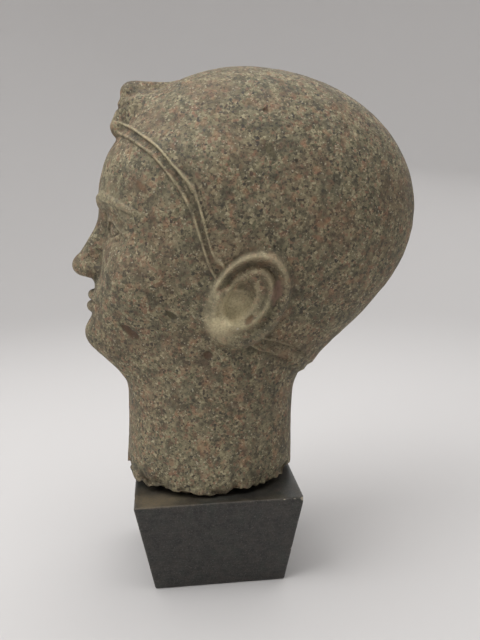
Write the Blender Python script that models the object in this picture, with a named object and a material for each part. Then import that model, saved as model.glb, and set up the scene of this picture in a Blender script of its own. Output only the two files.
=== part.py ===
"""A carved granite head in a close cap, broken off at the neck, on a black block that narrows downwards.

The head faces -Y and its left side is at +X. The origin is the middle of the block's underside.
The head is one solid. Its form is a field: negative inside the stone, zero on its surface and
roughly the distance in between. Rings of points are found on that surface and joined into a mesh.
Every size of the head is a share of its height: one unit is a hundredth of HEAD_HEIGHT.
"""

import math

import bmesh
import bpy
import numpy as np

# Driving sizes, in metres.
HEAD_HEIGHT = 0.2655
PLINTH_TOP_WIDTH = 0.108
PLINTH_FOOT_WIDTH = 0.085
PLINTH_HEIGHT = 0.0627
PLINTH_EDGE_RADIUS = 0.0012
SEAT_GAP = 0.0003

# How finely the head is measured, and how many triangles are kept of it.
COLUMNS = 340
CROWN_ROWS = 48
BELT_ROWS = 170
COLLAR_ROWS = 12
NECK_ROWS = 12
UNDERSIDE_RINGS = 8
HEAD_TRIANGLES = 9400

UNIT = HEAD_HEIGHT / 100

# The skull under the cap: its middle in side view, and its reach forwards, backwards, up and sideways.
SKULL_CENTRE = (8.9, 66.4)
SKULL_FRONT = 34.6
SKULL_BACK = 41.6
SKULL_UP = 32.9
SKULL_SIDE = 23.6

# The full nape that runs down from the skull into the neck, as (y, z) places and radii.
NAPE_LOW = (13.9, 38.1)
NAPE_HIGH = (24.0, 48.7)
NAPE_RADII = (13.4, 12.6)

# The neck is an oval column that leans back a little and is slightly waisted.
NECK_HALF_WIDTH = 17.8
NECK_HALF_DEPTH = 21.5
NECK_FOOT_Y = -1.0
NECK_LEAN = 0.045
NECK_TOP = 52.0
NECK_WAIST = 0.035
NECK_WAIST_AT = 17.0
NECK_WAIST_REACH = 14.0

# The face is built upright on its own plane and then tilted back. Its heights follow the canon of
# three equal parts: chin to nose, nose to brow, brow to hairline. It is five eyes wide.
FACE_TILT = math.radians(9.0)
CHIN_POINT = (-31.2, 34.6)
FACE_PART = 17.2
NOSE_BASE = FACE_PART
BROW = 2 * FACE_PART
HAIRLINE = 3 * FACE_PART
FACE_WIDTH = 42.5
EYE_WIDTH = FACE_WIDTH / 5
EYE_MIDDLE = EYE_WIDTH
EYE_LINE = 29.8
MOUTH_LINE = 11.6
EAR_DEPTH = 25.0
FACE_FULLNESS = 2.3
THROAT_POINT = (-28.6, 33.4)
THROAT_SLOPE = math.radians(34)

# The features' plain forms: (out from the midline, back, up) places with half sizes or end radii.
EYE_BACK = 8.3
EYE_SLANT = 0.30
EYEBALL = (6.4, 4.0, 4.5)
LIDS = (7.2, 4.7, 5.2)
BRIDGE = ((0, 4.2, BROW + 0.1), (0, -1.2, NOSE_BASE + 3.4))
BRIDGE_RADII = (2.1, 2.7)
NOSE_TIP = ((0, -1.9, NOSE_BASE + 2.4), (2.8, 2.9, 2.5))
NOSE_WING = ((2.5, 1.0, NOSE_BASE + 1.8), (1.7, 3.0, 1.9))
NOSTRIL = ((1.7, 0.2, NOSE_BASE - 0.4), (0.8, 1.5, 0.8))
MUZZLE = ((0, 9.0, MOUTH_LINE + 0.8), (11.0, 7.4, 7.5))
UPPER_LIP = ((0, 1.0, MOUTH_LINE + 1.3), (6.5, 0.9, MOUTH_LINE + 0.2))
UPPER_LIP_RADII = (1.45, 0.7)
LOWER_LIP = ((0, 1.2, MOUTH_LINE - 1.4), (6.0, 1.0, MOUTH_LINE - 0.4))
LOWER_LIP_RADII = (1.65, 0.85)
MOUTH_ARCH = 0.055
MOUTH_CORNER = 7.4
CHIN = ((0, 5.2, 4.1), (5.8, 5.4, 4.3))
CHEEK = ((9.5, 13.2, 20.0), (9.2, 8.6, 9.0))


def through(*stations):
    """A smooth curve through (place, value) stations, level beyond its ends."""
    places, values = np.array(stations, float).T
    slopes = np.gradient(values, places)

    def curve(at):
        at = np.clip(at, places[0], places[-1])
        left = np.clip(np.searchsorted(places, at) - 1, 0, len(places) - 2)
        span = places[left + 1] - places[left]
        t = (at - places[left]) / span
        start, end = values[left], values[left + 1]
        leaving, arriving = slopes[left] * span, slopes[left + 1] * span
        bend = (2 * t - 3) * t * t
        return (
            start * (1 + bend)
            - end * bend
            + leaving * t * (1 - t) ** 2
            - arriving * t * t * (1 - t)
        )

    return curve


def smooth_union(a, b, blend):
    """Two forms as one, with a soft fillet where they meet."""
    share = np.clip(0.5 + 0.5 * (b - a) / blend, 0, 1)
    return b + (a - b) * share - blend * share * (1 - share)


def smooth_cut(a, b, blend):
    """What two forms have in common, with a rounded edge."""
    return -smooth_union(-a, -b, blend)


def rise(value, start, end):
    """0 up to start, 1 from end on, and a smooth step between."""
    t = np.clip((value - start) / (end - start), 0, 1)
    return t * t * (3 - 2 * t)


def hump(offset, width):
    """1 in the middle, fading out over about twice the width."""
    return np.exp(-((offset / width) ** 2))


def across(value, curve, at, step=0.05):
    """The distance of value from a curve, measured square to the curve."""
    slope = (curve(at + step) - curve(at - step)) / (2 * step)
    return (value - curve(at)) / np.sqrt(1 + slope * slope)


# Face, from the chin up: how far the midline lies behind the face plane, and the half width.
MIDLINE = through(
    (-9, 4.2), (-3, 2.6), (2, 2.0), (7, 2.5), (12, 2.2), (17.2, 2.2), (23, 2.8), (29, 3.0),
    (33, 2.1), (38, 1.2), (42, 1.1), (46, 1.8), (50.5, 3.6), (54, 5.6), (60, 9.5),
)
HALF_WIDTH = through(
    (-9, 7.5), (-3, 10.2), (2, 12.6), (7, 15.4), (12, 18.0), (18, 20.0), (24, 21.0),
    (30, 21.4), (38, 21.6), (46, 21.5), (54, 20.6),
)

# The lids over the eye line and the brow over its own height, along the way out from the midline.
EYE_INNER = 3.9
EYE_OUTER = 12.9
PAINT_LINE_END = 17.6
BROW_END = 18.4
UPPER_LID = through(
    (EYE_INNER, -0.9), (5.6, 0.8), (8.2, 1.75), (10.8, 1.3), (EYE_OUTER, 0.1), (19, -0.5),
)
LOWER_LID = through(
    (EYE_INNER, -0.9), (5.8, -1.55), (8.6, -1.9), (11.2, -1.3), (EYE_OUTER, -0.3), (19, -0.9),
)
BROW_LINE = through((2, 0.2), (5.5, 1.6), (10, 2.4), (14.5, 1.5), (20, -0.6))

# The cap's lower edge in side view, from the brow round under the ear to the nape, as z over y.
CAP_EDGE = through(
    (-24, 85.9), (-19.7, 84.5), (-15.7, 81.8), (-12.4, 78.9), (-9.6, 75.4), (-7.6, 72.6),
    (-5.8, 69.2), (-4.6, 66.0), (-3.2, 61.2), (-1.8, 56.6), (0.8, 51.0), (3.2, 44.5),
    (6.0, 39.2), (9.2, 36.0), (13.3, 34.3), (16.8, 32.3), (20.8, 28.7), (24.5, 25.2), (30, 21.5),
)
BAND_WIDTH = through((-22, 2.4), (-16, 2.1), (0, 2.0), (9, 3.0), (25, 3.0))
STEP_HEIGHT = through((24, 1.0), (33, 0.8), (44, 0.5), (54, 0.42), (90, 0.42))

# Ear: its middle in side view, its lean, and its half length and half width.
EAR_MIDDLE = (7.0, 48.0)
EAR_LEAN = math.radians(28.0)
EAR_HALF_LENGTH = 12.0
EAR_HALF_WIDTH = 8.8
FRONT_KNOB = ((-6.2, -1.9), (1.4, 2.0))
LOW_KNOB = ((-1.2, -6.9), (1.7, 1.2))
EAR_NOTCH = ((-4.2, -5.6), (0.9, 1.3))
LOBE = ((-2.6, -9.2), (4.2, 2.6))

# The cobra at the brow, worn to soft lumps: its tail along the cap, its coil, the root under them, its hood.
TAIL = ((0, -15.0, 95.2), (0, -6.5, 95.7))
TAIL_RADII = (1.7, 0.9)
COIL = ((0, -16.9, 94.2), (3.0, 2.8, 2.8))
ROOT = ((0, -14.6, 90.9), (6.4, 5.2, 4.0))
HOOD = ((0, -18.4, 91.2), (0, -18.9, 86.8))
HOOD_RADII = (2.0, 3.4)
HOOD_FOOT = 84.2

# The broken edge of the neck: its height over the turn from the front, 0 to 1 round +X and back.
BREAK_EDGE = through(
    (0.0, 4.3), (0.03, 4.0), (0.06, 2.6), (0.10, 1.8), (0.14, 2.4), (0.17, 1.5), (0.22, 1.2),
    (0.26, 0.3), (0.30, 0.8), (0.34, 1.4), (0.40, 1.1), (0.46, 1.9), (0.52, 1.2), (0.58, 2.3),
    (0.64, 1.0), (0.70, 1.8), (0.76, 0.5), (0.82, 1.6), (0.88, 2.9), (0.94, 2.4), (1.0, 4.3),
)
SEAT_SHARE = 0.62


def ellipsoid(x, y, z, radii):
    near = np.sqrt((x / radii[0]) ** 2 + (y / radii[1]) ** 2 + (z / radii[2]) ** 2)
    steep = np.sqrt((x / radii[0] ** 2) ** 2 + (y / radii[1] ** 2) ** 2 + (z / radii[2] ** 2) ** 2)
    return near * (near - 1) / np.maximum(steep, 1e-9)


def lump(x, y, z, place, radii):
    return ellipsoid(x - place[0], y - place[1], z - place[2], radii)


def bar(x, y, z, start, end, radii):
    """A bar with round ends from start to end, of one radius at each end."""
    run = [b - a for a, b in zip(start, end)]
    off = [x - start[0], y - start[1], z - start[2]]
    along = sum(o * r for o, r in zip(off, run)) / sum(r * r for r in run)
    along = np.clip(along, 0, 1)
    gap = np.sqrt(sum((o - along * r) ** 2 for o, r in zip(off, run)))
    return gap - (radii[0] + (radii[1] - radii[0]) * along)


def skull(x, y, z):
    y = y - SKULL_CENTRE[0]
    reach = np.where(y > 0, SKULL_BACK, SKULL_FRONT)
    return ellipsoid(x, y, z - SKULL_CENTRE[1], (SKULL_SIDE, reach, SKULL_UP))


def nape(x, y, z):
    return bar(x, y, z, (0, *NAPE_LOW), (0, *NAPE_HIGH), NAPE_RADII)


def neck(x, y, z):
    off = y - NECK_FOOT_Y - NECK_LEAN * np.clip(z, 0, NECK_TOP)
    slim = 1 - NECK_WAIST * hump(z - NECK_WAIST_AT, NECK_WAIST_REACH)
    ring = np.hypot(x / NECK_HALF_WIDTH, off / NECK_HALF_DEPTH) / slim
    column = np.hypot(x, off) * (1 - 1 / np.maximum(ring, 1e-6))
    return smooth_cut(column, z - NECK_TOP, 6)


def to_face(y, z):
    """(depth behind the face plane, height above the chin) of a place in side view."""
    off_y, off_z = y - CHIN_POINT[0], z - CHIN_POINT[1]
    lean, upright = math.sin(FACE_TILT), math.cos(FACE_TILT)
    return off_y * upright - off_z * lean, off_y * lean + off_z * upright


def face_mass(x, depth, height, y, z):
    """The plain mass of the face and jaw, before the features are carved."""
    front = MIDLINE(height)
    inward = EAR_DEPTH - depth
    inward = np.where(inward > 0, inward, inward * 1.5)
    ring = (x / HALF_WIDTH(height)) ** FACE_FULLNESS
    ring = ring + (np.abs(inward) / (EAR_DEPTH - front)) ** FACE_FULLNESS
    ring = np.maximum(ring, 1e-9) ** (1 / FACE_FULLNESS)
    mass = np.hypot(x, inward) * (1 - 1 / ring)
    mass = smooth_cut(mass, height - HAIRLINE, 9)
    below = -(y - THROAT_POINT[0]) * math.sin(THROAT_SLOPE)
    below = below - (z - THROAT_POINT[1]) * math.cos(THROAT_SLOPE)
    return smooth_cut(mass, below, 4)


def socket_hollow(x, height):
    """How far the surface sinks round the eye: sharply under the brow, softly on to the cheek."""
    up = height - EYE_LINE
    tall = rise(up, -5.8, -0.8) * (1 - rise(up, 1.6, 6.0))
    wide = 1 - rise(np.abs(x - EYE_MIDDLE), 2.0, 9.5)
    inner = hump(x - EYE_INNER - 0.4, 2.4) * hump(up - 0.6, 3.0)
    return 1.5 * tall * wide + 0.8 * inner


def add_eyes(form, x, depth, height):
    """An almond eyeball, a lid above and below it, and the raised line that runs on outwards."""
    off, up = x - EYE_MIDDLE, height - EYE_LINE
    set_back = depth - EYE_BACK - EYE_SLANT * off
    form = smooth_union(form, ellipsoid(off, set_back, up, EYEBALL), 1.0)
    lid = ellipsoid(off, set_back, up, LIDS)
    upper = smooth_cut(lid, -across(up, UPPER_LID, x), 0.3)
    lower = smooth_cut(lid + 0.25, across(up, LOWER_LID, x), 0.3)
    return smooth_union(form, np.minimum(upper, lower), 0.6)


def add_nose(form, x, depth, height):
    nose = bar(x, depth, height, *BRIDGE, BRIDGE_RADII)
    nose = smooth_union(nose, lump(x, depth, height, *NOSE_TIP), 1.5)
    nose = smooth_union(nose, lump(x, depth, height, *NOSE_WING), 1.8)
    form = smooth_union(form, nose, 2.2)
    return smooth_cut(form, -lump(x, depth, height, *NOSTRIL), 0.5)


def add_mouth(form, x, depth, height):
    """Two full lips that meet on a level line and follow the arch of the jaw."""
    arched = depth - MOUTH_ARCH * x * x
    form = smooth_union(form, lump(x, depth, height, *MUZZLE), 4.0)
    upper = bar(x, arched, height, *UPPER_LIP, UPPER_LIP_RADII)
    lower = bar(x, arched, height, *LOWER_LIP, LOWER_LIP_RADII)
    return smooth_union(form, smooth_union(upper, lower, 0.2), 0.6)


def add_chin_and_cheeks(form, x, depth, height):
    form = smooth_union(form, lump(x, depth, height, *CHIN), 2.6)
    return smooth_union(form, lump(x, depth, height, *CHEEK), 5.0)


def face_lines(x, height):
    """What is drawn on the face in low relief: brows, the rims of the lids and the line behind them."""
    brow_off = across(height - BROW, BROW_LINE, x)
    half = 1.0 - 0.4 * rise(x, 8, BROW_END)
    band = rise(-np.abs(brow_off), -half - 0.4, -half + 0.2)
    brow = 0.45 * band * rise(x, 1.4, 3.4) * (1 - rise(x, BROW_END - 1.4, BROW_END))
    ridge = 0.35 * hump(brow_off + 0.4, 2.8) * rise(x, 0, 5) * (1 - rise(x, 13, 19))
    above = across(height - EYE_LINE, UPPER_LID, x)
    below = across(height - EYE_LINE, LOWER_LID, x)
    start = rise(x, EYE_INNER - 0.6, EYE_INNER + 0.8)
    upper_end = 1 - rise(x, PAINT_LINE_END - 1.0, PAINT_LINE_END)
    lower_end = 1 - rise(x, EYE_OUTER - 0.4, EYE_OUTER + 1.2)
    rims = 0.34 * hump(above - 0.35, 0.6) * start * upper_end
    rims = rims + 0.2 * hump(below + 0.35, 0.5) * start * lower_end
    lip_top = MOUTH_LINE + 2.3
    groove = rise(height, lip_top, lip_top + 1.1) * (1 - rise(height, NOSE_BASE - 1.2, NOSE_BASE - 0.2))
    groove = -0.3 * hump(x, 0.9) * groove
    corner = -0.6 * hump(x - MOUTH_CORNER, 1.2) * hump(height - MOUTH_LINE, 1.2)
    return brow + ridge + rims + groove + corner


def add_face(form, x, depth, height):
    """The features, on a form that already has the mass of the head."""
    near = 1 - rise(depth, EAR_DEPTH * 0.5, EAR_DEPTH * 0.8)
    form = form + socket_hollow(x, height) * near
    form = add_chin_and_cheeks(form, x, depth, height)
    form = add_eyes(form, x, depth, height)
    form = add_nose(form, x, depth, height)
    form = add_mouth(form, x, depth, height)
    return form - face_lines(x, height) * near


def cap_relief(y, z):
    """Two steps up from the skin: a narrow band along the edge, then the cap itself."""
    above = across(z, CAP_EDGE, y)
    width, step = BAND_WIDTH(y), STEP_HEIGHT(z)
    lip = 0.2 * (hump(above - 0.45, 0.4) + hump(above - width - 0.45, 0.4))
    return step * (rise(above, -0.3, 0.35) + rise(above, width - 0.3, width + 0.35)) + lip


def ear_frame(y, z):
    """(place towards the back, place upwards) on the ear's own leaning axes."""
    off_y, off_z = y - EAR_MIDDLE[0], z - EAR_MIDDLE[1]
    lean, upright = math.sin(EAR_LEAN), math.cos(EAR_LEAN)
    return off_y * upright - off_z * lean, off_y * lean + off_z * upright


def spot(back, up, place, radii):
    """1 at a place on the ear, fading out over about its radii."""
    return hump(back - place[0], radii[0]) * hump(up - place[1], radii[1])


def ear_relief(back, up, ring):
    """A broad, low ear: rolled rim, groove, inner fold, bowl with its ledge, knobs and a heavy lobe."""
    turn = np.arctan2(up / EAR_HALF_LENGTH, back / EAR_HALF_WIDTH)
    slant = 0.4 + 2.1 * rise(back, -EAR_HALF_WIDTH, EAR_HALF_WIDTH * 0.8)
    behind = rise(np.cos(turn + 0.3), 0.1, 0.9)
    rim = (1.3 - 0.5 * behind) * hump(ring - 0.88, 0.07 + 0.07 * behind)
    rim = rim * rise(np.cos(turn - 1.2), -0.7, -0.2)
    groove = (0.35 * behind - 0.75) * hump(ring - 0.72, 0.09) * rise(np.cos(turn - 1.2), -0.6, 0.1)
    fold_ring = np.hypot((back + 0.2) / 4.6, (up - 0.4) / 6.9)
    fold = 0.9 * hump(fold_ring - 0.98, 0.13) * rise(np.cos(turn - 0.1), -0.8, -0.2)
    bowl_ring = np.hypot((back + 1.6) / 3.5, (up + 0.8) / 5.6)
    bowl = -1.9 * (1 - rise(bowl_ring, 0.5, 1.05))
    ledge = 0.9 * hump(up - 1.6 - 0.2 * back, 0.9) * rise(back, -6.8, -5) * (1 - rise(back, -2.4, 0.2))
    knobs = 1.2 * spot(back, up, *FRONT_KNOB) + 0.8 * spot(back, up, *LOW_KNOB)
    notch = -0.6 * spot(back, up, *EAR_NOTCH)
    return slant + rim + groove + fold + bowl + ledge + knobs + notch + 0.9 * spot(back, up, *LOBE)


def side_relief(x, y, z):
    """What stands up from the skin: the cap's steps, and the ears in their place."""
    back, up = ear_frame(y, z)
    ring = np.hypot(back / EAR_HALF_WIDTH, up / EAR_HALF_LENGTH)
    ear = (1 - rise(ring, 0.9, 1.1)) * rise(np.abs(x), 12, 16)
    return cap_relief(y, z) * (1 - ear) + ear_relief(back, up, ring) * ear


def add_cobra(form, x, y, z):
    coil = smooth_union(bar(x, y, z, *TAIL, TAIL_RADII), lump(x, y, z, *COIL), 1.2)
    hood = smooth_cut(bar(x, y, z, *HOOD, HOOD_RADII), HOOD_FOOT - z, 0.8)
    root = smooth_union(form, lump(x, y, z, *ROOT), 3.0)
    return smooth_union(root, smooth_union(coil, hood, 0.8), 1.3)


def break_height(x, y):
    """The rough underside: the broken edge, falling to the flat that the head stands on."""
    off = y - NECK_FOOT_Y
    turn = np.arctan2(x, -off) / (2 * math.pi) % 1.0
    ring = np.hypot(x / NECK_HALF_WIDTH, off / NECK_HALF_DEPTH)
    rough = 0.35 * np.sin(0.9 * x + 1.3) * np.sin(1.1 * y + 0.4) + 0.2 * np.sin(2.3 * x - 1.9 * y)
    edge = np.maximum(BREAK_EDGE(turn) + rough, 0)
    return edge * rise(ring, SEAT_SHARE, 1.0)


def head_field(x, y, z):
    """Negative inside the stone head and positive outside, all in units of the head."""
    depth, height = to_face(y, z)
    side = np.abs(x)
    form = smooth_union(skull(x, y, z), face_mass(side, depth, height, y, z), 4)
    form = smooth_union(form, nape(x, y, z), 6)
    form = smooth_union(form, neck(x, y, z), 5)
    form = add_face(form, side, depth, height)
    return add_cobra(form - side_relief(x, y, z), x, y, z)


# Where the rings of points lie: (front height, back height) of each ring's plane, at y = -30 and
# y = 50. The crown's rings fan out from the middle of the topmost plane, so they reach any height.
RING_FRONT_Y = -30.0
RING_BACK_Y = 50.0
BELT_TOP = (91.0, 84.0)
BELT_FOOT = (32.0, 33.0)
COLLAR = 14.0
FARTHEST = 64.0
HALVINGS = 13
SPINE_Y = through((0, -0.5), (20, 0), (40, 5), (66, 10), (100, 11))


def ring_places():
    """(front height, back height, lift out of the plane) of each ring, from the crown to the collar."""
    lifts = math.pi / 2 * np.linspace(1, 0, CROWN_ROWS + 1)[:-1] ** 1.3
    belt = np.linspace(0, 1, BELT_ROWS + 1)
    collar = np.linspace(0, 1, COLLAR_ROWS + 1)[1:]
    ends = []
    for top, foot in zip(BELT_TOP, BELT_FOOT):
        crown_part = np.full(CROWN_ROWS, top)
        belt_part = top + (foot - top) * belt
        collar_part = foot + (COLLAR - foot) * collar
        ends.append(np.concatenate([crown_part, belt_part, collar_part]))
    level = np.zeros(len(belt) + len(collar))
    return (*ends, np.concatenate([lifts, level]))


def turns(columns):
    """Angles round the head from the front, closer together on the face, at the ears and the nape's sides."""
    even = np.linspace(-math.pi, math.pi, 2001)
    off = np.abs(even)
    crowding = 2.7 - 2 * rise(off, 2.4, 2.8)
    passed = np.concatenate([[0], np.cumsum((crowding[1:] + crowding[:-1]) / 2)])
    return np.interp(np.linspace(0, passed[-1], columns, endpoint=False), passed, even)


def surface_ring(y0, z0, fall, turn, lift):
    """Points of the head's surface as seen from (0, y0, z0): turn goes round in a plane that falls
    to the back, and lift rises out of that plane."""
    ahead, up = np.cos(turn) * np.cos(lift), np.sin(lift)
    aim = np.array([
        np.sin(turn) * np.cos(lift),
        up * np.sin(fall) - ahead * np.cos(fall),
        ahead * np.sin(fall) + up * np.cos(fall),
    ])

    def field(reach):
        return head_field(aim[0] * reach, y0 + aim[1] * reach, z0 + aim[2] * reach)

    inner, outer = np.zeros_like(aim[0]), np.full_like(aim[0], FARTHEST)
    for _ in range(HALVINGS):
        middle = (inner + outer) / 2
        inside = field(middle) < 0
        inner, outer = np.where(inside, middle, inner), np.where(inside, outer, middle)
    low, high = field(inner), field(outer)
    found = inner + (outer - inner) * np.clip(low / np.minimum(low - high, -1e-9), 0, 1)
    return np.stack([aim[0] * found, y0 + aim[1] * found, z0 + aim[2] * found], axis=-1)


def head_rings(columns):
    """All rings of the head from the crown to the middle of the underside, as an array of points."""
    turn = turns(columns)
    front, back, lift = ring_places()
    fall = np.arctan2(front - back, RING_BACK_Y - RING_FRONT_Y)
    y0 = SPINE_Y((front + back) / 2)
    z0 = front + (back - front) * (y0 - RING_FRONT_Y) / (RING_BACK_Y - RING_FRONT_Y)
    grid = np.broadcast_arrays(
        y0[:, None], z0[:, None], fall[:, None], turn[None, :], lift[:, None]
    )
    upper = surface_ring(*grid)
    edge = break_height(upper[-1, :, 0], upper[-1, :, 1])
    level, foot_y = np.zeros(columns), np.full(columns, SPINE_Y(0.0))
    lower = []
    for share in np.linspace(0, 1, NECK_ROWS + 1)[1:]:
        z = COLLAR + (edge - COLLAR) * share
        lower.append(surface_ring(foot_y, z, level, turn, level))
    rim = lower[-1]
    middle = np.array([0.0, NECK_FOOT_Y, 0.0])
    for share in np.linspace(1, 0, UNDERSIDE_RINGS + 1)[1:-1]:
        ring = middle + (rim - middle) * share
        ring[:, 2] = break_height(ring[:, 0], ring[:, 1])
        lower.append(ring)
    return np.concatenate([upper, np.array(lower)])


def grid_faces(rings, columns):
    """Quads between neighbouring rings, and a fan of triangles at each end."""
    faces = []
    for ring in range(rings - 1):
        for column in range(columns):
            after = (column + 1) % columns
            here, below = ring * columns, (ring + 1) * columns
            faces.append((here + column, below + column, below + after, here + after))
    top, foot = rings * columns, rings * columns + 1
    last = (rings - 1) * columns
    for column in range(columns):
        after = (column + 1) % columns
        faces.append((top, column, after))
        faces.append((foot, last + after, last + column))
    return faces


def build_head(stone):
    rings = head_rings(COLUMNS)
    crown, rings = rings[0, :1], rings[1:]
    foot = np.array([[0.0, NECK_FOOT_Y, 0.0]])
    points = np.concatenate([rings.reshape(-1, 3), crown, foot]) * UNIT
    mesh = bpy.data.meshes.new("head")
    mesh.from_pydata(points.tolist(), [], grid_faces(len(rings), COLUMNS))
    mesh.update()
    head = add_object("head", mesh, stone)
    head.location.z = PLINTH_HEIGHT + SEAT_GAP
    triangles = 2 * COLUMNS * len(rings)
    thin = head.modifiers.new("thin out", "DECIMATE")
    thin.ratio = HEAD_TRIANGLES / triangles
    return head


def build_plinth(paint):
    """A square block, wider at the top than at the foot, with slightly worn edges."""
    shape = bmesh.new()
    bmesh.ops.create_cube(shape, size=1.0)
    for vertex in shape.verts:
        width = PLINTH_TOP_WIDTH if vertex.co.z > 0 else PLINTH_FOOT_WIDTH
        vertex.co.x *= width
        vertex.co.y *= width
        vertex.co.z = (vertex.co.z + 0.5) * PLINTH_HEIGHT
    mesh = bpy.data.meshes.new("plinth")
    shape.to_mesh(mesh)
    shape.free()
    plinth = add_object("plinth", mesh, paint)
    edges = plinth.modifiers.new("worn edges", "BEVEL")
    edges.width = PLINTH_EDGE_RADIUS
    edges.segments = 3
    return plinth


def add_object(name, mesh, material):
    made = bpy.data.objects.new(name, mesh)
    bpy.context.scene.collection.objects.link(made)
    mesh.materials.append(material)
    mesh.shade_smooth()
    mesh.set_sharp_from_angle(angle=math.radians(40))
    return made


def surface(name, colour, roughness):
    material = bpy.data.materials.new(name)
    material.use_nodes = True
    shader = material.node_tree.nodes["Principled BSDF"]
    shader.inputs["Base Color"].default_value = (*colour, 1)
    shader.inputs["Roughness"].default_value = roughness
    shader.inputs["Metallic"].default_value = 0
    return material


def main():
    for old in list(bpy.data.objects):
        bpy.data.objects.remove(old)
    granite = surface("granite", (0.21, 0.175, 0.125), 0.75)
    black_paint = surface("black paint", (0.022, 0.021, 0.020), 0.5)
    build_head(granite)
    build_plinth(black_paint)


main()
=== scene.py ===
"""A carved granite head in a close cap, broken off at the neck, on a black block that narrows downwards.

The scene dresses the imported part: a finely carved head and a worn block take the place of the two
solids, on a plain pale stage. The head faces -Y and its left side is at +X. The form of the head is a
field, negative inside the stone and zero on its surface, measured in units of a hundredth of the
head's height, as in the part's own source. Its fine relief is added along the surface's normals.
"""

import math

import bmesh
import bpy
import numpy as np
from mathutils import Matrix, Vector


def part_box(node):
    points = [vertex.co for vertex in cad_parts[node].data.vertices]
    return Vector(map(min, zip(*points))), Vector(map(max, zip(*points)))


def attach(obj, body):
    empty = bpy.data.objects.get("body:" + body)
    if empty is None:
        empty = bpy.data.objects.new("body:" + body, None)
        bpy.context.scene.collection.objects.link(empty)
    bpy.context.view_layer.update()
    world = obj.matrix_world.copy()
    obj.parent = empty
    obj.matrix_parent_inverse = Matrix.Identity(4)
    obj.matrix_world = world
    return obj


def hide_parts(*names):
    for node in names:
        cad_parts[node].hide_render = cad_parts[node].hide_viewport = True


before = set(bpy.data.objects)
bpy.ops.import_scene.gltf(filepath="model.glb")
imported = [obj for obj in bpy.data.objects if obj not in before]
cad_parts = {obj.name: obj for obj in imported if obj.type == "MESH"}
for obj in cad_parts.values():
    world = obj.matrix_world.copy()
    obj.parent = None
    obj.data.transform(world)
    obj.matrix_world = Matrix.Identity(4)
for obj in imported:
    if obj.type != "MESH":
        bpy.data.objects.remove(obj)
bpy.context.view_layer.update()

bl_info = {
    "name": "Granite head on a black block",
    "version": (1, 0, 0),
    "blender": (4, 5, 0),
    "location": "3D View > Sidebar > Stone head",
    "description": "Carves a worn granite head with a close cap and the painted block that it stands on",
    "category": "Add Mesh",
}

# Millimetres in a metre, and units in the head's height.
MILLIMETRES = 1000
UNITS = 100

# Sizes of the part in metres. The block's come from its solid.
HEAD_HEIGHT = 0.2655
HEAD_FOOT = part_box("head")[0].z
PLINTH_TOP_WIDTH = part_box("plinth")[1].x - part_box("plinth")[0].x
PLINTH_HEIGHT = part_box("plinth")[1].z
PLINTH_FOOT_WIDTH = 0.085
PLINTH_EDGE_RADIUS = 0.0012

# How finely the head is measured, and how many triangles are kept of it.
COLUMNS = 720
CROWN_ROWS = 80
BELT_ROWS = 340
COLLAR_ROWS = 36
NECK_ROWS = 40
UNDERSIDE_RINGS = 36
HEAD_TRIANGLES = 190000

# The skull under the cap: its middle in side view, and its reach forwards, backwards, up and sideways.
SKULL_CENTRE = (8.9, 66.4)
SKULL_FRONT = 34.6
SKULL_BACK = 41.6
SKULL_UP = 32.9
SKULL_SIDE = 23.6

# The full nape that runs down from the skull into the neck, as (y, z) places and radii.
NAPE_LOW = (13.9, 38.1)
NAPE_HIGH = (24.0, 48.7)
NAPE_RADII = (13.4, 12.6)

# The neck is an oval column that leans back a little and is slightly waisted.
NECK_HALF_WIDTH = 17.8
NECK_HALF_DEPTH = 21.5
NECK_FOOT_Y = -1.0
NECK_LEAN = 0.045
NECK_TOP = 52.0
NECK_WAIST = 0.035
NECK_WAIST_AT = 17.0
NECK_WAIST_REACH = 14.0

# The face is built upright on its own plane and then tilted back. Its heights follow the canon of
# three equal parts: chin to nose, nose to brow, brow to hairline. It is five eyes wide.
FACE_TILT = math.radians(9.0)
CHIN_POINT = (-31.2, 34.6)
FACE_PART = 17.2
NOSE_BASE = FACE_PART
BROW = 2 * FACE_PART
HAIRLINE = 3 * FACE_PART
FACE_WIDTH = 42.5
EYE_WIDTH = FACE_WIDTH / 5
EYE_MIDDLE = EYE_WIDTH
EYE_LINE = 29.8
MOUTH_LINE = 11.6
EAR_DEPTH = 25.0
FACE_FULLNESS = 2.3
THROAT_POINT = (-28.6, 33.4)
THROAT_SLOPE = math.radians(34)

# The features' plain forms: (out from the midline, back, up) places with half sizes or end radii.
EYE_BACK = 8.3
EYE_SLANT = 0.30
EYEBALL = (6.4, 4.0, 4.5)
LIDS = (7.2, 4.7, 5.2)
BRIDGE = ((0, 4.2, BROW + 0.1), (0, -1.2, NOSE_BASE + 3.4))
BRIDGE_RADII = (2.1, 2.7)
NOSE_TIP = ((0, -1.9, NOSE_BASE + 2.4), (2.8, 2.9, 2.5))
NOSE_WING = ((2.5, 1.0, NOSE_BASE + 1.8), (1.7, 3.0, 1.9))
NOSTRIL = ((1.7, 0.2, NOSE_BASE - 0.4), (0.8, 1.5, 0.8))
MUZZLE = ((0, 9.0, MOUTH_LINE + 0.8), (11.0, 7.4, 7.5))
UPPER_LIP = ((0, 1.0, MOUTH_LINE + 1.3), (6.5, 0.9, MOUTH_LINE + 0.2))
UPPER_LIP_RADII = (1.45, 0.7)
LOWER_LIP = ((0, 1.2, MOUTH_LINE - 1.4), (6.0, 1.0, MOUTH_LINE - 0.4))
LOWER_LIP_RADII = (1.65, 0.85)
MOUTH_ARCH = 0.055
MOUTH_CORNER = 7.4
CHIN = ((0, 5.2, 4.1), (5.8, 5.4, 4.3))
CHEEK = ((9.5, 13.2, 20.0), (9.2, 8.6, 9.0))


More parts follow.
